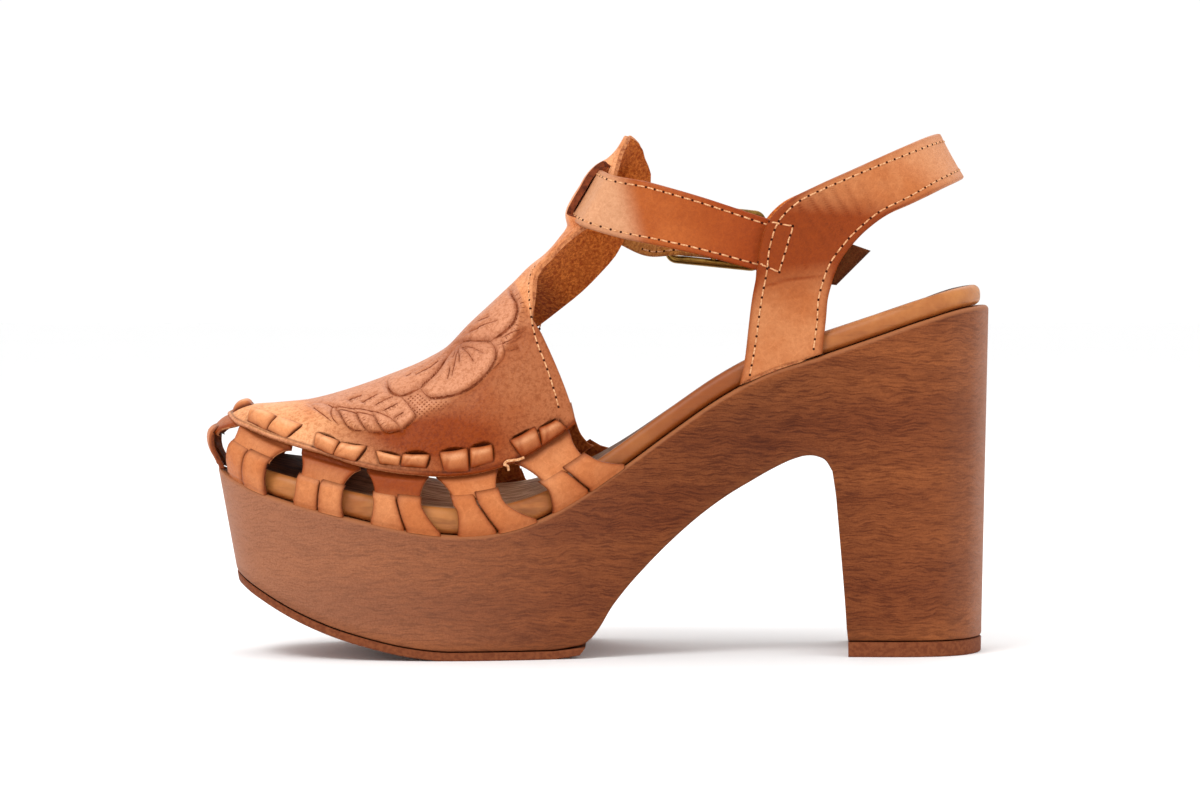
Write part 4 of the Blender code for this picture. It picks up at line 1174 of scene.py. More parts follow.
def t_strap_line(row):
    at = np.linspace(-1, 1, 2 * TOP_ROWS + 1)
    across = np.interp(at, np.linspace(-1, 1, 9), t_across(row))
    rise, foot = BRIDGE_EASE[row]
    crest = SLIT_INNER - 0.8 * (foot - SLIT_OUTER)
    inside = part((foot - np.abs(across)) / (foot - crest))
    lifts = VISUAL_BRIDGE * rise * inside**2 * (3 - 2 * inside)
    return np.array([t_strap_point(row, a, lift) for a, lift in zip(across, lifts)])


def t_strap_grid(medial, lateral):
    """Fine points of the T-strap, carrying on from the top of the vamp's last columns to a rounded tip."""
    lines = []
    for back in (32, 16, 0):
        column = FINE_COLUMNS - back
        lines.append(np.vstack([medial[column, LOW_ROWS:], lateral[column, LOW_ROWS:-1][::-1]]))
    lines += [t_strap_line(row) for row in range(len(T_STRAP))]
    slope = math.radians(T_STRAP[-1][2])
    centre = lines[-1].mean(axis=0)
    ahead = np.array([math.cos(slope), 0.0, math.sin(slope)])
    lines.append(centre + (lines[-1] - centre) * 0.22 + ahead * 1.0)
    lines = np.array(lines)
    knots = running_length(lines[:, TOP_ROWS])
    at = [knots[2]]
    for start, end in zip(knots[2:], knots[3:]):
        at += list(np.linspace(start, end, T_STEPS + 1)[1:])
    grid = hermite(knots, lines, np.array(at))
    grid[0] = lines[2]
    return grid


def in_slit(place):
    """Whether a place on an open edge belongs to one of the T-strap's slits."""
    return SLIT_LOW < place[2] < SLIT_HIGH and abs(place[1] - SLIT_MIDDLE) < SLIT_HALF


class DualShell:
    """A leather wall with a fine outer face and a coarse inner face, closed by walls along its open edges."""

    def __init__(self):
        self.grids = []

    def add(self, points, offset, tone, flip, drop=()):
        self.grids.append((points, offset, tone, flip, set(drop)))

    def build(self, builder, slots):
        places = np.vstack([g[0].reshape(-1, 3) for g in self.grids])
        offsets = np.concatenate([g[1].ravel() for g in self.grids])
        tones = np.vstack([g[2].reshape(-1, 3) for g in self.grids])
        _, first, weld = np.unique(np.round(places, 3), axis=0, return_index=True, return_inverse=True)
        weld = weld.ravel()
        base = places[first]
        fine, cells = self.faces(weld)
        normal = np.zeros_like(base)
        spans = np.cross(base[fine[:, 2]] - base[fine[:, 0]], base[fine[:, 3]] - base[fine[:, 1]])
        for k in range(4):
            np.add.at(normal, fine[:, k], spans)
        normal = unit(normal)
        outer = builder.add_points(base + normal * offsets[first][:, None], tones[first])
        corners = np.unique([c[0] for cell in cells for c in cell])
        inner = np.full(len(base), -1)
        inner[corners] = builder.add_points(base[corners])
        builder.faces += [tuple(q) for q in outer[fine].tolist()]
        builder.slots += [slots[0]] * len(fine)
        used = {}
        for cell in cells:
            builder.add_face(inner[[c[0] for c in cell]][::-1], slots[1])
            for chain in cell:
                used[(chain[0], chain[-1])] = chain
        for (a, b), chain in used.items():
            if (b, a) not in used and a != b:
                # The walls at the T-strap's slits get the cut edge with painted shade
                slot = slots[3] if in_slit(base[chain].mean(axis=0)) else slots[2]
                builder.add_face(list(outer[chain[::-1]]) + [inner[a], inner[b]], slot)

    def faces(self, weld):
        """Fine quads, and coarse cells as four chains of fine point ids."""
        fine, cells, start = [], [], 0
        for points, _, _, flip, drop in self.grids:
            rows, columns = points.shape[:2]
            ids = weld[start : start + rows * columns].reshape(rows, columns)
            start += rows * columns
            for i in range(0, rows - 1, COARSE):
                for j in range(0, columns - 1, COARSE):
                    if (i // COARSE, j // COARSE) in drop:
                        continue
                    block = ids[i : i + COARSE + 1, j : j + COARSE + 1]
                    block = block.T if flip else block
                    fine.append(grid_quads(block))
                    cells.append((block[:, 0], block[-1, :], block[::-1, -1], block[0, ::-1]))
        return np.vstack(fine), cells


# Carved ornament, in photograph pixels on the medial side. The lateral side mirrors it
PETAL_TOP = (
    (508, 288), (511, 295), (515.5, 303), (516, 311), (513, 320), (506, 328), (498, 334), (489, 338.5),
)
PETAL_TOP_SEAM = ((489, 339), (477, 339.8), (465, 339.7), (457, 341.5))
PETAL_MIDDLE = (
    (489, 339), (493.6, 345), (495.4, 352.4), (493, 362), (486, 372), (476.6, 381.5),
    (464.5, 389.4), (450, 394.2), (438, 396), (430.6, 396), (424.5, 392), (419.5, 386),
)
PETAL_MIDDLE_SEAM = ((419.5, 385), (430.6, 375.4), (439, 365.7), (445, 356), (450, 349), (455, 343))
PETAL_LOW = (
    (386, 377), (388, 386), (392.4, 391.2), (399, 393), (407.6, 391.2), (414.8, 387.5), (419.5, 385),
)
# Corners that close the top and the low petal over the ridge
PETAL_TOP_CLOSE = ((440, 320), (492, 268))
PETAL_LOW_CLOSE = ((430, 335), (388, 362))
PETAL_FOLDS = (
    ((466.9, 330.6), (477.8, 322.1), (489.4, 317.3)),
    ((470.6, 328.2), (474, 322), (478.5, 318.5)),
    ((464, 334.5), (470, 331), (477.8, 328.8)),
    ((463, 331), (476, 317), (492, 304)),
    ((468, 333.5), (482, 326), (497, 321)),
    ((459.7, 345.7), (463, 346.6), (466.9, 348.2)),
    ((464, 345.5), (474, 348.5), (483, 353)),
    ((461, 347), (468, 353), (474, 362)),
    ((456.6, 347.6), (459, 354), (459.7, 362.1)),
    ((453.6, 348.8), (453.6, 353), (452.4, 357.2)),
    ((457, 347), (455.5, 360), (452, 376)),
    ((450, 366), (449.4, 372), (447.6, 379.1)),
    ((440.3, 353.6), (432, 361), (423.3, 366.9), (406.4, 376.6)),
    ((446, 352), (432, 366), (416, 375)),
    ((440, 349), (420, 362), (400, 371)),
)
BUD_LINES = (
    ((497.2, 342.7), (509.4, 339.1), (519, 333), (525.1, 328.2)),
    ((500.9, 335.4), (513, 330), (522.7, 328.2)),
    ((502.1, 342.7), (503.9, 347.6), (503.3, 354.8), (498.4, 362.1), (492.4, 366.9)),
    ((504.5, 349), (511, 349.4), (517.8, 347.6)),
    ((505.7, 343), (512, 341), (520.3, 335.8)),
)
LEAF_RIB = (
    (308.4, 402.7), (320.6, 402.1), (334, 404.7), (351, 406.7),
    (369.6, 409.3), (382, 413), (394, 420), (401, 427.5),
)
LEAF_RIB_UNDER = ((336, 407.4), (355.3, 410.5), (374.7, 413.6))
LEAF_TIP_EDGE = ((308.4, 402.7), (316.5, 408.8), (324.7, 414.9), (331, 420))
LEAF_CRESCENT = ((331.8, 404.7), (330.3, 410.8), (332.3, 416.9), (338, 423.1))
LEAF_END = ((401.2, 394.5), (408.4, 403.7), (414.5, 414.9), (408.4, 422), (401.2, 428.7))
LEAFLETS = (
    ((338, 408), (341, 413.9), (347.1, 424.1), (353.3, 428.2), (361.4, 428.7)),
    ((356.3, 411.8), (361.4, 422), (367.6, 429.2), (377.8, 431.2)),
    ((373.7, 413.9), (378.8, 423.1), (384.9, 430.2), (400.2, 429.2)),
)
UPPER_VEINS = (
    ((347.1, 398.6), (361.4, 393.5)),
    ((361.4, 401.1), (376.7, 392.4)),
    ((374.7, 403.7), (392, 393.5)),
    ((382.9, 409.3), (397.1, 401.6)),
    ((393.1, 416.9), (403.3, 410.8)),
)
# Pixel where the flower's folds meet, and the reach of the darker dye round it
FLOWER_HEART = (456.0, 341.5)
HEART_REACH = 24.0
# Matted ground between the petals and the leaf: pitch of its dots in pixels, and its corners
GROUND_PITCH = 3.4
GROUND_DEPTH = 0.3
GROUND_DOT = 0.34
GROUND = (
    (404.0, 396.0), (419.1, 389.0), (424.5, 396.0), (433.0, 400.5), (447.6, 400.5), (453.6, 402.5),
    (437.9, 411.8), (423.3, 417.8), (416.0, 415.4),
)


# Carving: pixels round a stroke that it reaches, and a distance that counts as far from it
FIELD_MARGIN = 14
FAR = 99.0
FAR_LIMIT = 20
# Bevel outside a knife outline: depth, reach, and the reach of its painted shade
BEVEL_DEPTH = 0.95
BEVEL_REACH = 1.6
BEVEL_SHADE = 1.5
# Width of the painted shade along a cut, and its strength at a plain cut
CUT_SHADE = 0.7
PLAIN_SHADE = 0.7
# Swell of a petal: height, and the distance from its outline over which it rises
PETAL_SWELL = 0.75
SWELL_REACH = 1.4
SWELL_LIMIT = 30


def stroke(points, step=1.2):
    """Evenly spaced points along a smooth line through given pixels."""
    rows = np.array(points, float)
    moved = np.any(np.diff(rows, axis=0) != 0, axis=1)
    rows = rows[np.r_[True, moved]]
    at = running_length(rows)
    return hermite(at, rows, np.linspace(0, at[-1], max(3, int(at[-1] / step))))


def stroke_field(pixels, line):
    """Distance from a stroke in millimetres, and which side of it: positive is to its left."""
    flat = pixels.reshape(-1, 2)
    distance = np.full(len(flat), FAR)
    side = np.zeros(len(flat))
    low, high = line.min(axis=0) - FIELD_MARGIN, line.max(axis=0) + FIELD_MARGIN
    near = np.flatnonzero(((flat > low) & (flat < high)).all(axis=1))
    if len(near):
        gaps = flat[near][:, None] - line[None]
        best = np.argmin((gaps**2).sum(axis=2), axis=1)
        along = np.gradient(line, axis=0)[best]
        gap = gaps[np.arange(len(near)), best]
        distance[near] = np.linalg.norm(gap, axis=1) * PHOTO_SCALE
        side[near] = np.sign(along[:, 0] * gap[:, 1] - along[:, 1] * gap[:, 0])
    return distance.reshape(pixels.shape[:-1]), side.reshape(pixels.shape[:-1])


def outline_cut(pixels, points, outside, depth, width=0.42):
    """A knife outline: a groove, with the ground bevelled down and painted shade on its outer side."""
    distance, side = stroke_field(pixels, stroke(points))
    groove = -depth * hump(distance, width)
    beyond = (side * outside > 0) & (distance < FAR_LIMIT)
    bevel = np.where(beyond, -BEVEL_DEPTH * np.exp(-distance / BEVEL_REACH), 0.0)
    shade = np.where(beyond, np.exp(-distance / BEVEL_SHADE), hump(distance, CUT_SHADE))
    return groove + bevel, np.where(distance < FAR_LIMIT, shade, 0.0)


def plain_cut(pixels, points, depth, width=0.4):
    """A knife cut with both its sides level, and painted shade along it."""
    distance, _ = stroke_field(pixels, stroke(points))
    return -depth * hump(distance, width), PLAIN_SHADE * hump(distance, CUT_SHADE)


def inside_polygon(pixels, corners):
    """Even-odd test of pixels against a closed polygon."""
    corners = np.array(corners, float)
    x, y = pixels[..., 0], pixels[..., 1]
    odd = np.zeros(x.shape, bool)
    for (ax, ay), (bx, by) in zip(corners, np.roll(corners, -1, axis=0)):
        if ay != by:
            crosses = ((ay > y) != (by > y)) & (x < (bx - ax) * (y - ay) / (by - ay) + ax)
            odd ^= crosses
    return odd


def puffed(pixels, corners, outline):
    """A petal's own swell, rising from its outline."""
    distance, _ = stroke_field(pixels, stroke(outline))
    swell = PETAL_SWELL * (1 - np.exp(-np.minimum(distance, SWELL_LIMIT) / SWELL_REACH))
    return np.where(inside_polygon(pixels, corners), swell, 0.0)


def hatch(points, count, reach, start=0.1, end=0.95):
    """Short tool marks set off one side of a stroke."""
    line = stroke(points)
    along = unit(np.gradient(line, axis=0))
    side = np.stack([-along[:, 1], along[:, 0]], axis=1)
    marks = []
    for share in np.linspace(start, end, count):
        i = int(share * (len(line) - 1))
        marks.append((tuple(line[i] + side[i] * reach[0]), tuple(line[i] + side[i] * reach[1])))
    return marks


def ornament_strokes():
    """Every carved line: (points, side of its bevel or 0, groove depth, half width of its dark strip of
    painted shadow).
    """
    strokes = [(PETAL_TOP, -1, 0.8, 0.18), (PETAL_MIDDLE, -1, 0.8, 0.18), (PETAL_LOW, 1, 0.8, 0.18)]
    strokes += [(PETAL_TOP_SEAM, -1, 0.65, 0.14), (PETAL_MIDDLE_SEAM, 1, 0.7, 0.15)]
    strokes += [(points, 0, 0.55, 0.11) for points in PETAL_FOLDS]
    strokes += [(points, 0, 0.6, 0.13) for points in BUD_LINES]
    strokes += [(points, 0, 0.6, 0.14) for points in (LEAF_RIB, LEAF_RIB_UNDER, LEAF_TIP_EDGE, LEAF_CRESCENT)]
    strokes.append((LEAF_END, -1, 0.7, 0.15))
    marks = hatch(PETAL_TOP, 13, (-3.5, -9.0), 0.15, 0.85)
    for points in LEAFLETS:
        strokes.append((points, 1, 0.45, 0.1))
        marks += hatch(points, 7, (-1.0, -5.0), 0.25, 0.9)
    for points in UPPER_VEINS:
        strokes.append((points, 0, 0.45, 0.11))
        marks += hatch(points, 8, (0.6, 4.0))
    return strokes + [(mark, 0, 0.25, 0.07) for mark in marks]


ORNAMENT = ornament_strokes()
RELIEF_LIMITS = (-1.25, 0.8)
PETALS = (
    (PETAL_TOP + PETAL_TOP_SEAM + PETAL_TOP_CLOSE, PETAL_TOP + PETAL_TOP_SEAM),
    (PETAL_MIDDLE + PETAL_MIDDLE_SEAM + PETAL_TOP_SEAM[::-1], PETAL_MIDDLE + PETAL_MIDDLE_SEAM),
    (PETAL_LOW + PETAL_MIDDLE_SEAM + PETAL_LOW_CLOSE, PETAL_LOW + PETAL_MIDDLE_SEAM),
)


def ornament(pixels):
    """Carved relief in millimetres, painted shade near the cuts, and the share of the carved area's own
    colour.
    """
    relief = np.zeros(pixels.shape[:-1])
    dark = np.zeros(pixels.shape[:-1])
    for points, outside, depth, _ in ORNAMENT:
        if outside:
            cut, shade = outline_cut(pixels, points, outside, depth)
        else:
            cut, shade = plain_cut(pixels, points, depth)
        relief += cut
        dark = np.maximum(dark, shade * (depth > 0.3))
    for corners, outline in PETALS:
        relief += puffed(pixels, corners, outline)
    relief -= GROUND_DEPTH * inside_polygon(pixels, GROUND)
    return np.clip(relief, *RELIEF_LIMITS), dark, carved_area(pixels)


def ground_dots():
    """Pixels of the matted ground's tool marks, on a slanted lattice."""
    steps = np.arange(-20, 21) * GROUND_PITCH
    u, v = np.meshgrid(steps, steps)
    middle = np.mean(GROUND, axis=0)
    places = np.stack([middle[0] + 0.7 * (u + v), middle[1] + 0.7 * (u - v)], axis=-1).reshape(-1, 2)
    return places[inside_polygon(places, GROUND)]


# Lower edge of the carved area's own colour: pixel x, pixel y. Then its front and rear limits in pixels
CARVED_LIMIT = (
    (296, 404), (330, 421), (360, 431), (402, 431), (425, 414),
    (460, 398), (486, 380), (500, 360), (516, 334), (526, 290),
)
CARVED_FRONT = 296
CARVED_REAR = 532


def carved_area(pixels):
    """How much of the carved area's own colour shows, fading at its limits."""
    px, py = pixels[..., 0], pixels[..., 1]
    inside = part((straight(CARVED_LIMIT, px) - py) / 10)
    return inside * part((px - CARVED_FRONT) / 16) * part((CARVED_REAR - px) / 14)


def nearest_places(targets):
    """Feather distance and height above the edge of the vamp's medial points seen at given pixels."""
    flat = PIXELS.reshape(-1, 2)
    places = []
    for target in targets:
        near = np.argsort(((flat - np.array(target)) ** 2).sum(axis=1))[:4]
        places.append((DISTANCE.ravel()[near].mean(), HEIGHT.ravel()[near].mean()))
    return np.array(places)


def lace_places():
    """Corners of every lacing fold as feather distance and height, with its slot and gap."""
    at, rise, half, tall = TOE_LACE
    toe = np.array([(-half, tall), (half, tall), (half, -tall), (-half, -tall)]) + (at, rise)
    folds = [(toe, 0.6, 0.0)]
    for row in LACE_QUADS:
        folds.append((nearest_places(row[:4]), row[4], row[5]))
    return folds


def fold_axes(corners):
    """Centre and the two half axes of a lacing fold, taken as a parallelogram."""
    upper_left, upper_right, lower_right, lower_left = corners
    across = 0.25 * (upper_right + lower_right - upper_left - lower_left)
    along = 0.25 * (upper_left + upper_right - lower_left - lower_right)
    return np.mean(corners, axis=0), across, along


def lace_slots(distance, height):
    """Open slots above the lacing folds and beside some of them, and the line round each fold. Both sink the
    leather and carry painted shade.
    """
    depth = np.zeros(distance.shape)
    outline = np.zeros(distance.shape)
    for corners, slot, gap in FOLDS:
        centre, across, along = fold_axes(corners)
        turn = np.linalg.inv(np.stack([across, along], axis=1))
        u = turn[0, 0] * (distance - centre[0]) + turn[0, 1] * (height - centre[1])
        v = turn[1, 0] * (distance - centre[0]) + turn[1, 1] * (height - centre[1])
        wide, tall = np.linalg.norm(across), np.linalg.norm(along)
        past = (v - 1) * tall
        open_half = 0.25 + 0.75 * slot * part(1 - u**2)
        above = part(1.2 - u**6 - ((past - 0.6 * open_half) / open_half) ** 2)
        depth = np.maximum(depth, above * min(1.0, 0.4 + slot))
        beside = ((u - 1) * wide - 0.3) / 0.45
        depth = np.maximum(depth, gap * part(1.2 - beside**2 - v**4))
        rim = np.maximum((np.abs(u) - 1) * wide, (np.abs(v) - 1) * tall)
        outline = np.maximum(outline, hump(rim - 0.1, 0.4))
    return depth, outline


# Dark pool of dye below the carving in pixels, then where dye sets in towards the rear, from the toe and up
POOL_PLACE = (408, 438)
POOL_REACH = (80, 24)
REAR_DYE = (300, 150)
TOE_DYE = (235, 90)
TOP_DYE = (330, 40)


def vamp_dye_and_cut_shade(pixels, height, dark, carved):
    """Darker dye round the carving's lower side and towards the rear, paler at the toe, and painted shade in
    and beside the carving's cuts.
    """
    px, py = pixels[..., 0], pixels[..., 1]
    pool = hump(px - POOL_PLACE[0], POOL_REACH[0]) * hump(py - POOL_PLACE[1], POOL_REACH[1])
    rear = 0.78 * part((px - REAR_DYE[0]) / REAR_DYE[1])
    edge = 0.25 * hump(height, 1.6)
    toe = part((px - TOE_DYE[0]) / TOE_DYE[1])
    top = 0.8 * part((TOP_DYE[0] - py) / TOP_DYE[1])
    plain = (0.55 * pool * toe + rear) * (1 - top) + edge
    heart = hump(px - FLOWER_HEART[0], HEART_REACH) * hump(py - FLOWER_HEART[1], HEART_REACH)
    # Painted shade from the cuts darkens the burnish, inside and outside the carved area
    tooled = 0.16 + 0.3 * heart + 0.26 * dark
    return part(plain + (tooled - plain) * carved + 0.16 * dark * (1 - carved))


EDGE_ROUND = 0.8
# Depth of the lacing's slots and of the line round each fold
SLOT_DEPTH = 1.5
FOLD_LINE = 0.3
# Dark seam and pale welt along the vamp's lower edge: height of the seam, its width, height of the welt
SEAM_HEIGHT = 1.1
SEAM_WIDTH = 0.35
WELT_HEIGHT = 0.5
# Share of the normal across the shoe where the carving sets in towards the ridge, and its rise
CARVING_FADE = (0.12, 0.26)


def vamp_surface(points, distance, height, pixels):
    """Outer offset and tones of one half of the vamp. The carving fades out where it turns over the ridge."""
    relief, dark, carved = ornament(pixels)
    seen = part((np.abs(grid_normals(points)[..., 1]) - CARVING_FADE[0]) / CARVING_FADE[1])
    relief, dark = relief * seen, dark * seen
    slots, outline = lace_slots(distance, height)
    rear = np.linalg.norm(points - points[-1:], axis=-1)
    corner = np.linalg.norm(points - points[-1, LOW_ROWS], axis=-1)
    rear[:, LOW_ROWS:] = corner[:, LOW_ROWS:]
    edge = np.minimum(height, rear)
    offset = UPPER_WALL + relief - SLOT_DEPTH * slots - FOLD_LINE * outline - rounded(edge, EDGE_ROUND)
    seam = hump(height - SEAM_HEIGHT, SEAM_WIDTH)
    welt = hump(height, WELT_HEIGHT)
    # Painted shade in the carving's cuts, in the lacing's slots and round each fold, and the dark seam along
    # the lower edge
    crevice = part(0.06 * dark + slots + 0.45 * outline + 0.55 * seam)
    burnish = vamp_dye_and_cut_shade(pixels, height, dark, carved)
    tone = np.stack([burnish, np.maximum(0.9 * carved, 0.8 * welt), crevice], axis=-1)
    return offset, tone


MEDIAL, DISTANCE, RUN, HEIGHT = vamp_grid("medial")
PIXELS = to_photo(MEDIAL + UPPER_WALL * surface_normal("medial", DISTANCE, RUN))
FOLDS = lace_places()


def t_strap_surface(grid):
    """Outer offset and tones of the T-strap."""
    step = np.linalg.norm(np.diff(grid, axis=1), axis=-1)
    run = np.hstack([np.zeros((len(grid), 1)), np.cumsum(step, axis=1)])
    edge = np.minimum(run, run[:, -1:] - run)
    tip = np.linalg.norm(grid - grid[-1:], axis=-1)
    offset = UPPER_WALL - rounded(np.minimum(edge, tip), EDGE_ROUND)
    tone = np.zeros(grid.shape)
    tone[..., 0] = 0.15 * hump(edge, 1.5)
    return offset, tone


def slit_cells():
    """Coarse cells of the T-strap left open as its two slits, the near one up to the bridge's crest."""
    per = 2 * TOP_ROWS // 8 // COARSE
    near, far = SLIT_SPAN
    cells = {(i, j) for i in range(*near) for j in range(per, 3 * per)}
    return cells | {(i, j) for i in range(*far) for j in range(6 * per, 7 * per)}


def build_upper():
    lateral, far_distance, _, far_height = vamp_grid("lateral")
    lateral[0] = MEDIAL[0]
    lateral[:, -1] = MEDIAL[:, -1]
    t_strap = t_strap_grid(MEDIAL, lateral)
    offset, tone = vamp_surface(MEDIAL, DISTANCE, HEIGHT, PIXELS)
    far_pixels = mirrored_pixels(PIXELS, MEDIAL, lateral)
    far_offset, far_tone = vamp_surface(lateral, far_distance, far_height, far_pixels)
    far_offset[0], far_tone[0] = offset[0], tone[0]
    far_offset[:, -1], far_tone[:, -1] = offset[:, -1], tone[:, -1]
    t_offset, t_tone = t_strap_surface(t_strap)
    shell = DualShell()
    shell.add(MEDIAL, offset, tone, False)
    shell.add(lateral, far_offset, far_tone, True)
    shell.add(t_strap, t_offset, t_tone, False, slit_cells())
    builder = Builder()
    shell.build(builder, (0, 1, 2, 3))
    piece = builder.finish("vamp_and_t_strap", [LEATHER, SUEDE, CUT_EDGE, EDGE_SHADE], "upper_leather", 55.0)
    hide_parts("upper")
    lines = Builder()
    for points, shift, places in ((MEDIAL, offset, PIXELS), (lateral, far_offset, far_pixels)):
        add_carved_lines(lines, points, shift, places)
    lines.finish("painted_groove_shadows", [GROOVE_SHADOW], "upper_leather", 60.0)
    build_throat_stitches(t_strap, t_offset)


# Where a carved line's strip of painted shadow is left out, towards the ridge: share of the face's normal
# across the shoe
LINE_FACING = 0.36


def add_carved_lines(builder, points, offset, pixels):
    """Thin dark strips of painted shadow in the carved lines, and dark dots of painted shadow in the matted
    ground, laid along the carved face of one half of the vamp.
    """
    normal = grid_normals(points)
    out = normal if np.sum(normal[..., 2]) > 0 else -normal
    face = points + out * offset[..., None]
    low, high = pixels[FRONT_COLUMNS:].reshape(-1, 2).min(axis=0), pixels.reshape(-1, 2).max(axis=0)
    for line, _, _, half in ORNAMENT:
        path = stroke(line, 1.0)
        along = unit(np.gradient(path, axis=0))
        side = np.stack([-along[:, 1], along[:, 0]], axis=1)
        share = np.linspace(0, 1, len(path))
        taper = np.minimum(1, 0.25 + 4 * np.minimum(share, share[::-1]))
        reach = (half * taper / PHOTO_SCALE)[:, None]
        rows = [on_face(path + side * reach * k, pixels, face, out) for k in (-1, 0, 1)]
        keep = (rows[1][2] < 2.5) & (np.abs(rows[1][1][:, 1]) > LINE_FACING)
        if keep.sum() < 3 or not (low < path).all() or not (path < high).all():
            continue
        left, middle, right = ([r[0][keep], r[1][keep]] for r in rows)
        low_line = middle[0] - middle[1] * 0.3
        ring = np.stack([left[0] + left[1] * 0.05, low_line, right[0] + right[1] * 0.05], axis=1)
        add_loft(builder, ring, [0, 0, 0])
    places, normals, _ = on_face(ground_dots(), pixels, face, out)
    for place, direction in zip(places, normals):
        add_dot(builder, place, direction, GROUND_DOT)


def add_dot(builder, place, out, radius, rise=0.05, sink=0.3):
    """A small dark mark of painted shade for a dent or hole: a shallow disc just proud of the leather."""
    first = unit(np.cross(out, (0.3, 0.5, 0.8)))
    second = np.cross(out, first)
    angles = np.linspace(0, 2 * np.pi, 9)[:-1]
    ring = np.cos(angles)[:, None] * first + np.sin(angles)[:, None] * second
    low = builder.add_points(place + ring * radius - out * sink)
    top = builder.add_points(place + ring * radius * 0.8 + out * rise)
    builder.add_grid(np.vstack([np.r_[low, low[:1]], np.r_[top, top[:1]]]))
    builder.add_face(top)
    builder.add_face(low[::-1])


def on_face(targets, pixels, face, out):
    """Points and normals of a carved face where it is seen at given pixels, with the miss in pixels."""
    flat = pixels.reshape(-1, 2)
    gaps = ((targets[:, None] - flat[None]) ** 2).sum(axis=2)
    nearest = np.argsort(gaps, axis=1)[:, :4]
    near = np.sqrt(np.take_along_axis(gaps, nearest, axis=1))
    weight = 1 / (near + 0.05)
    weight = (weight / weight.sum(axis=1, keepdims=True))[..., None]
    places = (face.reshape(-1, 3)[nearest] * weight).sum(axis=1)
    normals = unit((out.reshape(-1, 3)[nearest] * weight).sum(axis=1))
    return places, normals, near[:, 0]


def mirrored_pixels(pixels, medial, lateral):
    """Where the medial side's pixels fall on the lateral side, at the same run from the ridge."""
    mirrored = np.empty_like(pixels)
    for j in range(len(pixels)):
        near = running_length(medial[j][::-1])
        far = running_length(lateral[j][::-1])
        for k in range(2):
            mirrored[j, ::-1, k] = np.interp(far / far[-1] * near[-1], near, pixels[j, ::-1, k])
    return mirrored


def tab_half_width(tab, share):
    """Centre and half width of a tab at a share of the way from the vamp's edge down to the ledge."""
    top, top_half, waist, waist_half, foot, foot_half = tab
    if share <= 0:
        return top, top_half
    if share <= TAB_WAIST_AT:
        t = share / TAB_WAIST_AT
        ease = 1 - (1 - t) ** 2.2
        return top + (waist - top) * t, top_half + (waist_half - top_half) * ease
    t = (share - TAB_WAIST_AT) / (1 - TAB_WAIST_AT)
    return waist + (foot - waist) * t, waist_half + (foot_half - waist_half) * t**1.4


TAB_WALL = 1.5
TAB_LIFT = 1.35
LOOP_WALL = 1.6
LOOP_LIFT = 2.5
LOOP_DROP = 0.8
TAB_ROUND = 0.5
LOOP_ROUND = 0.6
# Share of the way down by which a tab starts above the edge, and a loop above the tab's end
TAB_START = -0.16
LOOP_START = 0.1
# Least half width of a pair of loops, how far it spreads past the tab, and the gap at its middle
LOOP_LEAST_HALF = 7.4
LOOP_SPREAD = 1.06
LOOP_GAP = 0.15
# Millimetres of run above the edge for one share, and the painted shade on a tab's inner face
RUN_ABOVE = 12.0
INSIDE_SHADE = 0.5


def even_with_ends(count, crowd=0.12):
    """Shares from 0 to 1 with extra ones close to both ends, for rounded edges."""
    inner = np.linspace(crowd, 1 - crowd, count)
    return np.r_[0, crowd * 0.2, crowd * 0.5, inner, 1 - crowd * 0.5, 1 - crowd * 0.2, 1]


def strip_patch(side, shares, spans, lift, wall, radius):
    """Outer and inner grids of leather that lies on the upper between two feather distances per row."""
    across = even_with_ends(9)
    first, last = np.array(spans).T
    distance = first[:, None] + (last - first)[:, None] * across
    run = rim_run(side, distance) * np.clip(1 - np.array(shares)[:, None], 0, None)
    over = np.clip(-np.array(shares), 0, None)[:, None] * RUN_ABOVE
    points = surface(side, distance, run + over)
    normal = surface_normal(side, distance, run + over)
    width = np.linalg.norm(points[:, -1] - points[:, 0], axis=-1)[:, None]
    edge = np.minimum(across, 1 - across) * width
    outer_lift = np.array(lift)[:, None] - rounded(edge, radius)
    inner_lift = np.array(lift)[:, None] - np.reshape(wall, (-1, 1)) + 0.6 * rounded(edge, radius)
    return points + normal * outer_lift[..., None], points + normal * inner_lift[..., None], edge


def build_tabs():
    tabs, loops = Builder(), Builder()
    for side in SIDES_OF_SHOE:
        for index, tab in enumerate(TABS):
            tab = shifted_tab(TAB_LOOKS.get(index, tab), TAB_SHIFT[index] * (side == "lateral"))
            if index:
                add_tab(tabs, side, tab, TAB_ENDS[index], TAB_BURNISH[index])
            if index or side == "medial":
                add_loops(loops, side, tab, TAB_ENDS[index])
    add_toe_strap(tabs, TAB_BURNISH[0])
    tabs.finish("edge_tabs", [TAB_LEATHER, SUEDE, CUT_EDGE], "upper_leather", 60.0)
    loops.finish("tab_loops", [TAB_LEATHER, SUEDE, EDGE_SHADE], "upper_leather", 60.0)


def shifted_tab(tab, shift):
    top, top_half, waist, waist_half, foot, foot_half = tab
    return top + shift, top_half, waist + shift, waist_half, foot + shift, foot_half


def add_slab_facing(builder, side, outer, inner, tone):
    """A tab or loop whose inner face gets painted shade."""
    if side == "medial":
        outer, inner, tone = outer[:, ::-1], inner[:, ::-1], tone[:, ::-1]
    shade = np.zeros(inner.shape)
    # Painted shade on the inner face
    shade[..., 2] = INSIDE_SHADE
    builder.add_slab(outer, inner, (0, 1, 2), tone, shade)


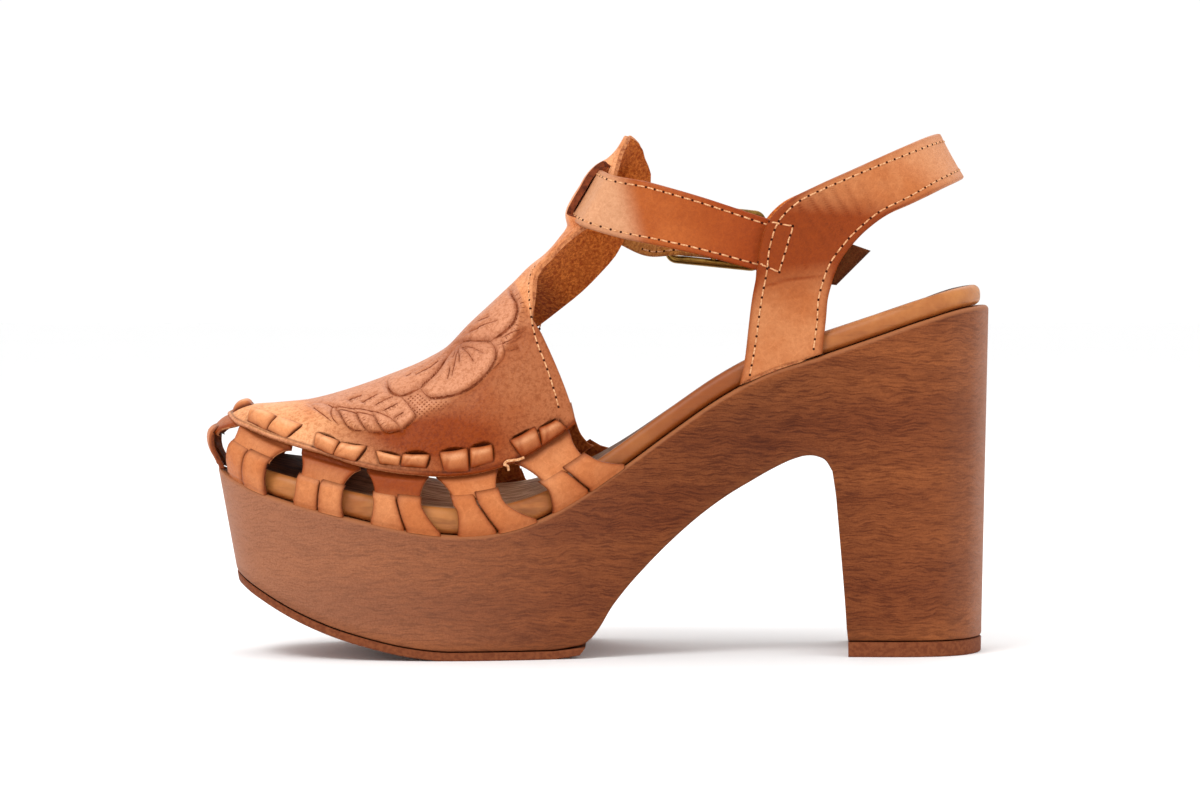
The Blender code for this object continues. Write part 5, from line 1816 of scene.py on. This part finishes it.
def add_tab(builder, side, tab, end, dye):
    """One leather tab from under the vamp's edge down to its loops."""
    shares = np.r_[TAB_START, -0.08, np.linspace(0.0, end, 16), end + 0.012, end + 0.02]
    marks = (TAB_START, -0.02, 0.1, end, end + 0.02)
    lift = np.interp(shares, marks, (-0.2, -0.15, TAB_LIFT, TAB_LIFT, TAB_LIFT - 0.6))
    spans = []
    for share in shares:
        centre, half = tab_half_width(tab, share)
        spans.append((centre - half, centre + half))
    outer, inner, edge = strip_patch(side, shares, spans, lift, TAB_WALL, TAB_ROUND)
    tone = np.zeros(outer.shape)
    fade = part(shares[:, None] / end)
    rim = 0.35 * hump(edge, 0.9)
    # Dye per tab and burnished edges; the darker band just below the vamp's edge is partly dye and partly
    # painted shadow of that edge
    tone[..., 0] = part(dye * (1 - 0.3 * fade) + 0.3 * hump(shares[:, None], 0.14) + rim)
    # Painted shadow where the tab comes out from under the vamp's edge, and painted shade along its sides
    tone[..., 2] = 0.6 * hump(shares[:, None] - 0.02, 0.06) + 0.25 * hump(edge, 0.3)
    add_slab_facing(builder, side, outer, inner, tone)


# The toe's tab is broad under the tip of the vamp: share of the way down, lift, half width
TOE_STRAP = (
    (-0.2, -0.2, 17.5), (-0.06, 0.0, 17.5), (0.06, 0.7, 17.3), (0.16, 1.35, 16.2), (0.26, 1.5, 13.6),
    (0.36, 1.5, 10.2), (0.47, 1.5, 8.0), (0.49, 0.9, 8.0),
)


def add_toe_strap(builder, dye):
    """The toe's tab, broad under the vamp's tip and down to the loops in front of the toes."""
    shares = np.r_[np.linspace(TOE_STRAP[0][0], 0.47, 26), 0.48, 0.49]
    lift = straight(TOE_STRAP, shares, 1)
    half = straight(TOE_STRAP, shares, 2)
    outer, inner, edge = strip_patch("medial", shares, list(zip(-half, half)), lift, TAB_WALL, TAB_ROUND)
    tone = np.zeros(outer.shape)
    tone[..., 0] = dye * (0.7 + 0.3 * hump(edge, 2.0))
    # Painted shadow where the toe's tab comes out from under the vamp's tip
    tone[..., 2] = 0.5 * hump(shares[:, None] - 0.02, 0.08)
    add_slab_facing(builder, "medial", outer, inner, tone)


def add_loops(builder, side, tab, end):
    """The two thongs that come out of a tab's foot and go down to the wood."""
    first = end - LOOP_START
    shares = np.r_[first, end - 0.07, end - 0.03, np.linspace(end + 0.02, 0.95, 14), 0.98, 1.0]
    dip = LOOP_LIFT - 1.3
    marks = (first, end, 0.7, 0.95, 1.0)
    lift = np.interp(shares, marks, (dip, LOOP_LIFT, LOOP_LIFT + 0.3, LOOP_LIFT - 0.05, LOOP_LIFT - 0.8))
    wall = np.interp(shares, (first, end, end + 0.06), (0.5, 0.9, LOOP_WALL))
    for half_sign in (-1, 1):
        spans = []
        for share in shares:
            centre, half = tab_half_width(tab, share)
            half = max(LOOP_SPREAD * half, LOOP_LEAST_HALF)
            spans.append(tuple(sorted((centre + half_sign * LOOP_GAP, centre + half_sign * half))))
        outer, inner, edge = strip_patch(side, shares, spans, lift + 0.3 * half_sign, wall, LOOP_ROUND)
        outer[-1, :, 2] -= LOOP_DROP
        inner[-1, :, 2] -= LOOP_DROP
        tone = np.zeros(outer.shape)
        worn = 0.18 * part((shares[:, None] - 0.75) / 0.25)
        tone[..., 0] = 0.36 + 0.36 * hump(edge, 1.1) + worn
        # Painted shade where the loops come out of the tab, and along their sides
        start = 0.6 * hump(shares[:, None] - first, 0.05)
        tone[..., 2] = start + 0.4 * hump(edge, 0.35)
        add_slab_facing(builder, side, outer, inner, tone)


def build_lacing():
    builder = Builder()
    for side in SIDES_OF_SHOE:
        for index, (corners, _, _) in enumerate(FOLDS):
            add_lace(builder, side, corners, index)
    builder.finish("edge_lacing", [TAB_LEATHER], "upper_leather", 70.0)


def add_lace(builder, side, corners, index):
    """One puffed fold of thong that dives into the leather on every side, with a painted highlight on its
    upper part and painted shade round it.
    """
    shares = np.sin(np.linspace(-np.pi / 2, np.pi / 2, 25))
    u, v = np.meshgrid(shares, shares, indexing="ij")
    right, top = 0.5 * (LACE_REACH[0] * u + 1), 0.5 * (LACE_REACH[1] * v + 1)
    upper = corners[0] + (corners[1] - corners[0]) * right[..., None]
    lower = corners[3] + (corners[2] - corners[3]) * right[..., None]
    place = lower + (upper - lower) * top[..., None]
    distance, height = place[..., 0], place[..., 1]
    height = np.maximum(height + 0.25 * (u**2 - 0.5) * v, 0.5)
    run = edge_run(side, distance) + height
    points = surface(side, distance, run)
    normal = surface_normal(side, distance, run)
    square = part((1 - np.abs(u) ** 6) * (1 - np.abs(v) ** 4))
    ridge = 0.45 * hump(u - 0.4 * math.sin(2.1 * index) - 0.3 * v, 0.35)
    crease = 0.5 * hump(u + 0.5 - 0.3 * v + 0.2 * math.sin(3.1 * index), 0.14) * (1 - v**2)
    barrel = 0.8 * (1 - 0.7 * v**2)
    tilt = barrel + 0.3 * v + 0.25 * u * math.cos(1.9 * index)
    lift = UPPER_WALL - 0.4 + np.sqrt(square) * (LACE_PUFF * (0.25 + tilt) + ridge - crease)
    tone = np.zeros(points.shape)
    # Each fold's own dye, with painted shade in its crease
    dye = LACE_DYE[index] + 0.45 * part(crease)
    # shine marks the painted highlight on the fold's upper part
    shine = hump(v - 0.35, 0.3) * (1 - 0.6 * u**2)
    # Painted shade towards the fold's borders and on its lower part, lessened under the painted highlight
    tone[..., 0] = part(0.5 * (1 - square) + dye + 0.3 * part(-0.1 - v) - 0.25 * shine)
    # Painted highlight in the pale tone
    tone[..., 1] = 0.55 * square * shine
    # Painted shade where the fold dives into the leather
    tone[..., 2] = 0.95 * part(1 - 2.6 * square)
    outer = points + normal * lift[..., None]
    inner = points + normal * (UPPER_WALL - LACE_SINK)
    if side == "medial":
        outer, inner, tone = outer[::-1], inner[::-1], tone[::-1]
    builder.add_slab(outer, inner, (0, 0, 0), tone)


# Straps


def above_ledge(points):
    """Lifts a strap's points clear of the wood under them."""
    lifted = np.array(points)
    lifted[..., 2] = np.maximum(lifted[..., 2], wood_top(lifted[..., 0]) + GAP + 0.3)
    return lifted


def refine(rungs, step):
    """More rungs along a smooth path through the given ones, about one step apart."""
    rows = np.array([np.r_[a, b] for a, b in rungs])
    run = running_length(0.5 * (rows[:, :3] + rows[:, 3:]))
    return hermite(run, rows, np.linspace(0, run[-1], int(run[-1] / step)))


def strap_faces(rungs, wall, count, crown, radius):
    """Outer and inner grids of a strap through fine rungs, with rounded edges and a slight crown."""
    across = even_with_ends(count)
    first, second = rungs[:, None, :3], rungs[:, None, 3:]
    middle = above_ledge(first + (second - first) * across[:, None])
    normal = grid_normals(middle)
    width = np.linalg.norm(second - first, axis=-1)
    edge = np.minimum(across, 1 - across) * width
    run = running_length(middle[:, len(across) // 2])
    tip = np.minimum(run, run[-1] - run)
    soft = rounded(np.minimum(edge, tip[:, None]), radius)
    bow = crown * (1 - (2 * across - 1) ** 2)
    outer = middle + normal * (wall / 2 - soft + bow)[..., None]
    inner = middle - normal * (wall / 2 - soft - bow)[..., None]
    return outer, inner, normal, edge


def sling_rungs():
    medial, lateral = [], []
    for index, row in enumerate(SLING):
        front, rear = np.array(row[:3]), np.array(row[3:])
        other_front, other_rear = front * (1, -1, 1), rear * (1, -1, 1)
        other_front[0] += LATERAL_SETBACK * max(0.0, 1 - index / 6)
        if index == 0:
            for side, pair in (("medial", (front, rear)), ("lateral", (other_front, other_rear))):
                for point in pair:
                    plan = edge_at(side, point[0], SLING_INSET)
                    point[:] = plan[0], plan[1], float(wood_top(plan[0])) + GAP
        if index == 1:
            other_front[1], other_rear[1] = LATERAL_QUARTER
        medial.append((front, rear))
        lateral.append((other_front, other_rear))
    return medial + lateral[-2::-1]


def width_rung(x, y, z, lean, width):
    up = np.array([math.cos(math.radians(lean)), 0, math.sin(math.radians(lean))])
    centre = np.array([x, y, z])
    return centre - up * width / 2, centre + up * width / 2


def ankle_rungs():
    slope = T_STRAP[CROSSING_ROW][2]
    rungs = [width_rung(*row) for row in ANKLE_MEDIAL]
    for across in CROSSING_SHARES:
        lift = STRAP_LIFT + max(0.0, abs(across) - 0.5)
        place = t_strap_point(CROSSING_ROW, across, lift)
        rungs.append(width_rung(*place, slope + 2 * abs(across), CROSSING_WIDTH))
    rungs += [width_rung(*row) for row in ANKLE_LATERAL]
    deeper = []
    for low, high in rungs:
        extra = straight(NEAR_DEPTH if low[1] < T_MIDDLE else FAR_DEPTH, low[0])
        deeper.append((low - unit(high - low) * extra, high))
    return deeper


STITCH_PITCH = 3.2
FINE_PITCH = 3.0
THROAT_PITCH = 3.1
STITCH_LENGTH = 2.55
STITCH_RADIUS = 0.25
HOLE_RADIUS = 0.46
THROAT_INSET = 2.2


class Stitching:
    """All stitches and needle holes of the shoe, as two pieces."""

    def __init__(self):
        self.thread = Builder()
        self.holes = Builder()

    def add_row(self, path, normal, pitch=STITCH_PITCH):
        """Stitches along a path that lies on the leather's face."""
        run = running_length(path)
        count = max(1, round(run[-1] / pitch))
        ends = np.linspace(0, run[-1], count + 1)
        for index, (start, end) in enumerate(zip(ends, ends[1:])):
            middle = 0.5 * (start + end)
            reach = 0.5 * STITCH_LENGTH * (end - start) / pitch
            at = np.linspace(middle - reach, middle + reach, 7)
            place = along_path(at, run, path)
            out = unit(along_path(at, run, normal))
            self.add_stitch(place, out, 0.05 * math.sin(1.9 * index))
        # Needle holes as dark discs of painted shade
        for place, out in zip(along_path(ends, run, path), unit(along_path(ends, run, normal))):
            add_dot(self.holes, place, out, HOLE_RADIUS, 0.06)

    def add_stitch(self, place, out, tilt):
        """A short thread, fat in the middle, that sinks into the leather at its ends."""
        along = unit(np.gradient(place, axis=0))
        side = np.cross(out, along)
        shares = np.linspace(-1, 1, len(place))
        swell = np.sqrt(np.clip(1 - 0.75 * shares**4, 0.05, 1))
        sink = 0.1 - 0.3 * shares**4
        angles = np.linspace(0, 2 * np.pi, 7)[:-1]
        ring = np.cos(angles)[:, None, None] * side[None] + 0.75 * np.sin(angles)[:, None, None] * out[None]
        centre = place + out * sink[:, None] + side * (tilt * shares)[:, None]
        points = centre[None] + ring * (STITCH_RADIUS * swell)[None, :, None]
        ids = self.thread.add_points(points).reshape(points.shape[:2])
        self.thread.add_grid(np.vstack([ids, ids[:1]]))
        self.thread.add_face(ids[:, 0])
        self.thread.add_face(ids[::-1, -1])

    def finish(self):
        self.thread.finish("stitches", [THREAD], "upper_leather", 80.0)
        self.holes.finish("painted_hole_shades", [HOLE], "upper_leather", 60.0)


STITCHING = Stitching()


def face_path(outer, normal, edge, inset, near_start):
    """A line on a strap's outer face at an inset from one of its long edges."""
    path, out = [], []
    for row in range(len(outer)):
        half = outer.shape[1] // 2
        columns = slice(0, half) if near_start else slice(half, None)
        where = np.argsort(edge[row, columns])
        at = edge[row, columns][where]
        path.append(along_path(inset, at, outer[row, columns][where]))
        out.append(along_path(inset, at, normal[row, columns][where]))
    return np.array(path), unit(np.array(out))


def strap_tone(edge, rungs, centre, reach):
    """Darker dye along the edges and in a pool round a place on the strap."""
    tone = np.zeros(edge.shape + (3,))
    middle = 0.5 * (rungs[:, :3] + rungs[:, 3:])
    pool = hump(np.linalg.norm(middle - np.array(centre), axis=1), reach)
    tone[..., 0] = part(0.85 * pool[:, None] + 0.3 * hump(edge, 1.4))
    return tone


# Creases of the heel sling in photograph pixels: start, end, depth in millimetres
SLING_CREASES = (
    ((766, 286), (790, 280), (823, 277), 0.4),
    ((792, 217), (801, 233), (811, 253), 0.28),
    ((799, 206), (812, 224), (825, 242), 0.32),
    ((810, 199), (823, 218), (836, 238), 0.3),
    ((821, 194), (832, 212), (844, 234), 0.3),
    ((832, 188), (841, 203), (851, 220), 0.24),
    ((846, 186), (853, 198), (860, 214), 0.22),
    ((858, 181), (865, 193), (873, 208), 0.2),
    ((806, 230), (822, 240), (836, 258), 0.22),
    ((784, 232), (796, 250), (806, 268), 0.22),
    ((770, 300), (790, 297), (812, 296), 0.15),
    ((880, 172), (886, 182), (893, 196), 0.16),
)


def crease_field(points):
    """Depth of the sling's creases in millimetres. The lateral side mirrors the medial one."""
    mirrored = points * np.where(points[..., 1:2] > 0, (1, -1, 1), (1, 1, 1))
    pixels = to_photo(mirrored)
    depth = np.zeros(pixels.shape[:-1])
    for start, middle, end, deep in SLING_CREASES:
        distance, side = stroke_field(pixels, stroke((start, middle, end)))
        depth += deep * hump(distance, 0.45)
        depth -= 0.5 * deep * hump(distance - 1.1, 0.6) * (side > 0)
    return depth


SLING_STITCH_INSET = 3.0
STRAP_STITCH_INSET = 1.8
# Pools of darker dye on the sling and on the ankle strap: place, reach
SLING_POOL = ((66.0, -30.0, 126.0), 15.0)
STRAP_POOL = ((46.0, -27.0, 126.0), 20.0)
# Dye of the sling by height: z, share. Then the x where it fades at the heel's back, and over how much
SLING_FOOT_DYE = ((80.0, 0.56), (106.0, 0.38))
SLING_REAR = (104.0, 14.0)
# Depth limits of the sling's creases, raised and sunk
CREASE_LIMITS = (-0.2, 0.45)


def build_sling():
    rungs = refine(sling_rungs(), 0.8)
    outer, inner, normal, edge = strap_faces(rungs, SLING_WALL, 41, 0.25, 0.7)
    if normal[20, 5, 1] > 0:
        outer, inner = inner, outer
    out = unit(outer - inner)
    creases = crease_field(outer)
    outer = outer - out * np.clip(creases, *CREASE_LIMITS)[..., None]
    tone = strap_tone(edge, rungs, *SLING_POOL)
    middle = 0.5 * (rungs[:, :3] + rungs[:, 3:])
    foot = straight(SLING_FOOT_DYE, middle[:, 2])
    rear = part((SLING_REAR[0] - middle[:, 0]) / SLING_REAR[1])
    # Painted shade in the creases, on top of the dye
    tone[..., 0] = part(tone[..., 0] + (foot * rear)[:, None] + 0.5 * part(creases))
    tone[..., 1] = 0.9 * (1 - rear)[:, None]
    builder = Builder()
    builder.add_slab(outer, inner, (0, 1, 2), tone)
    piece = builder.finish("sling_strap", [SLING_LEATHER, SUEDE, CUT_EDGE], "sling_leather", 60.0)
    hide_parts("heel_sling")
    for near_start in (True, False):
        path, face = face_path(outer, out, edge, SLING_STITCH_INSET, near_start)
        STITCHING.add_row(path[3:-3], face[3:-3], FINE_PITCH)
    add_box_stitch(outer, out)


# Corners of the box stitch on the medial quarter, in photograph pixels
BOX_STITCH = ((769, 222), (793, 226), (779, 272), (757, 262))
# Rungs of the sling that make up the medial quarter
QUARTER_RUNGS = 95


def add_box_stitch(outer, out):
    """A stitched box where the ankle strap is sewn under the quarter."""
    flat = outer[:QUARTER_RUNGS].reshape(-1, 3)
    normals = out[:QUARTER_RUNGS].reshape(-1, 3)
    pixels = to_photo(flat)
    for start, end in zip(BOX_STITCH[:3], BOX_STITCH[1:]):
        path, face = [], []
        for share in np.linspace(0, 1, 14):
            target = np.array(start) * (1 - share) + np.array(end) * share
            gap = np.linalg.norm(pixels - target, axis=1)
            near = np.argsort(gap)[:6]
            weight = 1 / (gap[near] + 0.5)
            path.append((flat[near] * weight[:, None]).sum(axis=0) / weight.sum())
            face.append(normals[near].mean(axis=0))
        STITCHING.add_row(np.array(path), unit(np.array(face)), FINE_PITCH)


# Where the ankle strap's pale end stops on the medial side and how far it fades, then its slant by height
PALE_END = (13.5, 9.0)
PALE_SLANT = 0.25
PALE_HEIGHT = 137.0
# Where the strap's free tip starts to darken: partly the flesh side's own darker colour, partly painted shade
TIP_START = 66.0
# Places of the strap's buckle holes along the shoe
BUCKLE_HOLES = (33.0, 57.0, 64.0)


def build_ankle_strap():
    rungs = refine(ankle_rungs(), 0.8)
    outer, inner, normal, edge = strap_faces(rungs, STRAP_WALL, 21, 0.2, 0.7)
    if normal[10, 5, 1] > 0:
        outer, inner = inner, outer
    tone = strap_tone(edge, rungs, *STRAP_POOL)
    slant = outer[..., 0] + PALE_SLANT * (outer[..., 2] - PALE_HEIGHT)
    pale = part((PALE_END[0] - slant) / PALE_END[1]) * (outer[..., 1] < 0)
    tone[..., 1] = 0.85 * pale**2 * (3 - 2 * pale)
    shade = np.zeros(inner.shape)
    # Darker free tip on the flesh side: partly its own colour, partly painted shade
    shade[..., 2] = 0.88 * part((inner[..., 0] - TIP_START) / 3) * (inner[..., 1] > 0)
    builder = Builder()
    builder.add_slab(outer, inner, (0, 1, 2), tone, shade)
    piece = builder.finish("buckled_strap", [STRAP_LEATHER, DARK_SUEDE, CUT_EDGE], "strap_leather", 60.0)
    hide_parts("ankle_strap")
    out = unit(outer - inner)
    for near_start in (True, False):
        path, face = face_path(outer, out, edge, STRAP_STITCH_INSET, near_start)
        STITCHING.add_row(path[11:-4], face[11:-4])
    far = np.flatnonzero(outer[:, 0, 1] > 18)
    path, face = face_path(inner[far], -out[far], edge[far], STRAP_STITCH_INSET, True)
    STITCHING.add_row(path[:-4], face[:-4])
    middle = outer.shape[1] // 2
    for x in BUCKLE_HOLES:
        row = far[np.argmin(np.abs(outer[far, middle, 0] - x))]
        # Each buckle hole is a dark disc of painted shade
        add_dot(STITCHING.holes, outer[row, middle], out[row, middle], 0.9, 0.08)


# Buckle


def frame_axes():
    front, rear = np.array(FRAME_FRONT), np.array(FRAME_REAR)
    along = unit(rear - front)
    up = unit(np.array([0, 0, 1.0]) - along * along[2])
    out = np.cross(up, along)
    return front, rear, along, up, out if out[1] > 0 else -out


def add_tube(builder, path, radius, closed, sides=14):
    """A round wire along a path."""
    path = np.array(path)
    ahead = np.roll(path, -1, axis=0) - np.roll(path, 1, axis=0)
    if not closed:
        ahead = np.gradient(path, axis=0)
    along = unit(ahead)
    side = unit(np.cross(along[0], (0.31, 0.52, 0.79)))
    angles = np.linspace(0, 2 * np.pi, sides + 1)[:-1]
    rings = []
    for place, direction in zip(path, along):
        side = unit(side - direction * np.dot(side, direction))
        other = np.cross(direction, side)
        rings.append(place + radius * (np.cos(angles)[:, None] * side + np.sin(angles)[:, None] * other))
    ids = builder.add_points(np.array(rings)).reshape(len(path), sides)
    ids = np.hstack([ids, ids[:, :1]])
    builder.add_grid(np.vstack([ids, ids[:1]]) if closed else ids, flip=True)
    if not closed:
        builder.add_face(ids[0, :-1])
        builder.add_face(ids[-1, :-1][::-1])


def rounded_corners(along, up, reach, half, radius):
    """Closed path of a rectangle with rounded corners."""
    path = []
    for right, top, turn in ((1, 1, 0), (-1, 1, 90), (-1, -1, 180), (1, -1, 270)):
        centre = along * right * (reach - radius) + up * top * (half - radius)
        for step in np.linspace(0, 90, 9):
            angle = math.radians(turn + step)
            path.append(centre + radius * (along * math.cos(angle) + up * math.sin(angle)))
    return path


def build_buckle():
    front, rear, along, up, out = frame_axes()
    middle = 0.5 * (front + rear)
    reach = np.linalg.norm(rear - front) / 2
    builder = Builder()
    loop = rounded_corners(along, up, reach, FRAME_HALF_HEIGHT, FRAME_CORNER)
    add_tube(builder, [middle + p for p in loop], BUCKLE_WIRE, True)
    bar = [middle + up * FRAME_HALF_HEIGHT * t for t in np.linspace(-1, 1, 5)]
    add_tube(builder, bar, WIRE_RADIUS * 0.9, False)
    piece = builder.finish("brass_frame", [BRASS], "buckle_frame", 60.0)
    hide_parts("buckle_frame")
    ring = WIRE_RADIUS + GAP + PRONG_RADIUS
    path = []
    for angle in np.radians(np.linspace(-150, 75, 28)):
        path.append(middle + along * ring * math.cos(angle) + out * ring * math.sin(angle))
    end = front - along * 1.4 + out * (ring + BUCKLE_WIRE - WIRE_RADIUS)
    for share in np.linspace(0.15, 1, 12):
        path.append(path[27] + (end - path[27]) * share)
    builder = Builder()
    add_tube(builder, path, PRONG_RADIUS, False, 12)
    piece = builder.finish("brass_prong", [BRASS], "buckle_prong", 60.0)
    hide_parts("buckle_prong")
    build_buckle_strap(middle, along, up, out)


# Centres of the buckle strap's outer and inner leg, from the quarter to the bar and back
KEEPER_OUTER = ((61.0, 28.4, 124.4), (53.0, 28.1, 126.0), (47.0, 28.0, 127.0))
KEEPER_INNER = ((47.0, 26.2, 127.0), (53.0, 26.2, 126.0), (61.0, 26.4, 124.4))
BUCKLE_STRAP_WIDTH = 12.6
PRONG_SLOT = 1.5


def build_buckle_strap(middle, along, up, out):
    """Folded strap round the buckle's bar, split where the prong passes."""
    ring = WIRE_RADIUS + GAP + BUCKLE_STRAP_WALL / 2
    width = BUCKLE_STRAP_WIDTH
    slot = PRONG_SLOT
    centres = [np.array(place) for place in KEEPER_OUTER]
    centres.append(middle + along * 4.6 + out * (ring - 0.5))
    for angle in np.radians(np.linspace(75, 285, 8)):
        centres.append(middle + along * ring * math.cos(angle) + out * ring * math.sin(angle))
    centres.append(middle + along * 4.6 - out * (ring + 0.2))
    centres += [np.array(place) for place in KEEPER_INNER]
    builder = Builder()
    spans = ((0, 3, -1, 1), (3, 12, -1, -slot * 2 / width), (3, 12, slot * 2 / width, 1), (12, 15, -1, 1))
    for first, last, low, high in spans:
        rungs = [(c + up * width / 2 * low, c + up * width / 2 * high) for c in centres[first : last + 1]]
        outer, inner, _, _ = strap_faces(refine(rungs, 0.6), BUCKLE_STRAP_WALL, 7, 0.0, 0.4)
        builder.add_slab(outer, inner, (0, 1, 2))
    looks = [STRAP_LEATHER, DARK_SUEDE, CUT_EDGE]
    piece = builder.finish("buckle_keeper_strap", looks, "buckle_strap_leather", 60.0)
    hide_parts("buckle_strap")


def build_throat_stitches(t_strap, t_offset):
    """The sewn line inside the vamp's rear edge on both sides, carried up along the T-strap."""
    normal = grid_normals(t_strap)
    out = normal if np.sum(normal[..., 2] - normal[..., 0]) > 0 else -normal
    face = t_strap + out * t_offset[..., None]
    for side in SIDES_OF_SHOE:
        low = float(rim_run(side, REAR_COLUMN))
        whole = float(np.interp(REAR_COLUMN, DISTANCES, TABLE[side][2]))
        top = whole - min(T_BASE_HALF[side], T_BASE_SHARE * (whole - low))
        run = np.linspace(low + 7.5, top - 5.0, 40)
        inset = REAR_COLUMN - THROAT_INSET
        flat = surface_normal(side, inset, run)
        path = surface(side, inset, run) + flat * UPPER_WALL
        rows = range(3, T_STEPS + 3)
        columns = face if side == "medial" else face[:, ::-1]
        turned = out if side == "medial" else out[:, ::-1]
        above, above_out = [], []
        for row in rows:
            reach = running_length(columns[row])
            above.append(along_path(THROAT_INSET, reach, columns[row]))
            above_out.append(along_path(THROAT_INSET, reach, turned[row]))
        knots = np.vstack([path[::8], above])
        flats = np.vstack([flat[::8], above_out])
        at = running_length(knots)
        fine = np.linspace(0, at[-1], 120)
        STITCHING.add_row(hermite(at, knots, fine), unit(hermite(at, flats, fine)), THROAT_PITCH)


# Loose thread end at the vamp's lower edge, in photograph pixels
LOOSE_END = (
    (524, 457.5), (519, 459.5), (512, 460.5), (506.5, 461.5), (504.3, 464.5), (507.5, 466.0), (508.5, 470.5),
)
LOOSE_RADIUS = 0.42


def build_loose_end():
    """A short curl of thread left at the lacing."""
    flat = PIXELS.reshape(-1, 2)
    near = np.argmin(((flat - np.array(LOOSE_END[2])) ** 2).sum(axis=1))
    depth = MEDIAL.reshape(-1, 3)[near, 1] - 2.6
    scale = PHOTO_SCALE * (1 + depth / EYE_DISTANCE)
    rows = np.array(LOOSE_END)
    points = np.stack([
        (rows[:, 0] - PHOTO_AHEAD[0]) * scale,
        depth + 0.5 * np.sin(np.arange(len(rows)) * 1.3),
        EYE_HEIGHT - (rows[:, 1] - PHOTO_AHEAD[1]) * scale,
    ], axis=1)
    at = running_length(points)
    builder = Builder()
    add_tube(builder, hermite(at, points, np.linspace(0, at[-1], 30)), LOOSE_RADIUS, False, 8)
    builder.finish("loose_thread", [THREAD], "upper_leather", 80.0)


# Stage

FLOOR_SIZE = 24.0
FLOOR_PALE = (0.97, 0.97, 0.97)
FLOOR_PALER = (0.985, 0.985, 0.985)


def build_floor():
    half = FLOOR_SIZE / 2
    mesh = bpy.data.meshes.new("floor")
    corners = [(-half, -half, 0), (half, -half, 0), (half, half, 0), (-half, half, 0)]
    mesh.from_pydata(corners, [], [(0, 1, 2, 3)])
    look = Look("pale_floor")
    cloud = look.noise(0.6, 2.0)
    colour = look.mix(cloud, FLOOR_PALE, FLOOR_PALER)
    mesh.materials.append(look.done(colour, 0.7, Specular_IOR_Level=0.2))
    floor = bpy.data.objects.new("floor", mesh)
    bpy.context.scene.collection.objects.link(floor)


def add_light(name, place, aim, size, power):
    light = bpy.data.lights.new(name, "AREA")
    light.shape = "RECTANGLE"
    light.size, light.size_y = size
    light.energy = power
    obj = bpy.data.objects.new(name, light)
    obj.location = place
    obj.rotation_euler = look_at(place, aim)
    bpy.context.scene.collection.objects.link(obj)


def look_at(place, aim):
    return (Vector(aim) - Vector(place)).to_track_quat("-Z", "Y").to_euler()


def build_light():
    world = bpy.data.worlds.new("studio")
    world.use_nodes = True
    shade = world.node_tree.nodes["Background"]
    shade.inputs["Color"].default_value = (1.0, 1.0, 1.0, 1)
    shade.inputs["Strength"].default_value = 1.02
    bpy.context.scene.world = world
    shoe = (0.0, 0.0, 0.08)
    add_light("key", (-0.7, -1.0, 1.5), shoe, (0.7, 0.7), 15.0)
    add_light("fill", (1.2, -1.4, 0.7), shoe, (1.2, 1.2), 3.0)
    add_light("back", (0.3, 1.3, 1.4), shoe, (1.2, 0.8), 6.0)


def build_camera():
    data = bpy.data.cameras.new("photo_view")
    data.lens = LENS
    data.sensor_width = SENSOR
    camera = bpy.data.objects.new("photo_view", data)
    place = (0.0, -EYE_DISTANCE * MM, EYE_HEIGHT * MM)
    camera.location = place
    camera.rotation_euler = look_at(place, (0.0, 0.0, AIM_HEIGHT * MM))
    bpy.context.scene.collection.objects.link(camera)
    bpy.context.scene.camera = camera


build_wood()
build_rubber()
build_footbed()
build_upper()
build_tabs()
build_lacing()
build_sling()
build_ankle_strap()
build_buckle()
build_loose_end()
STITCHING.finish()
build_floor()
build_light()
build_camera()
bpy.context.scene.view_settings.view_transform = "Standard"
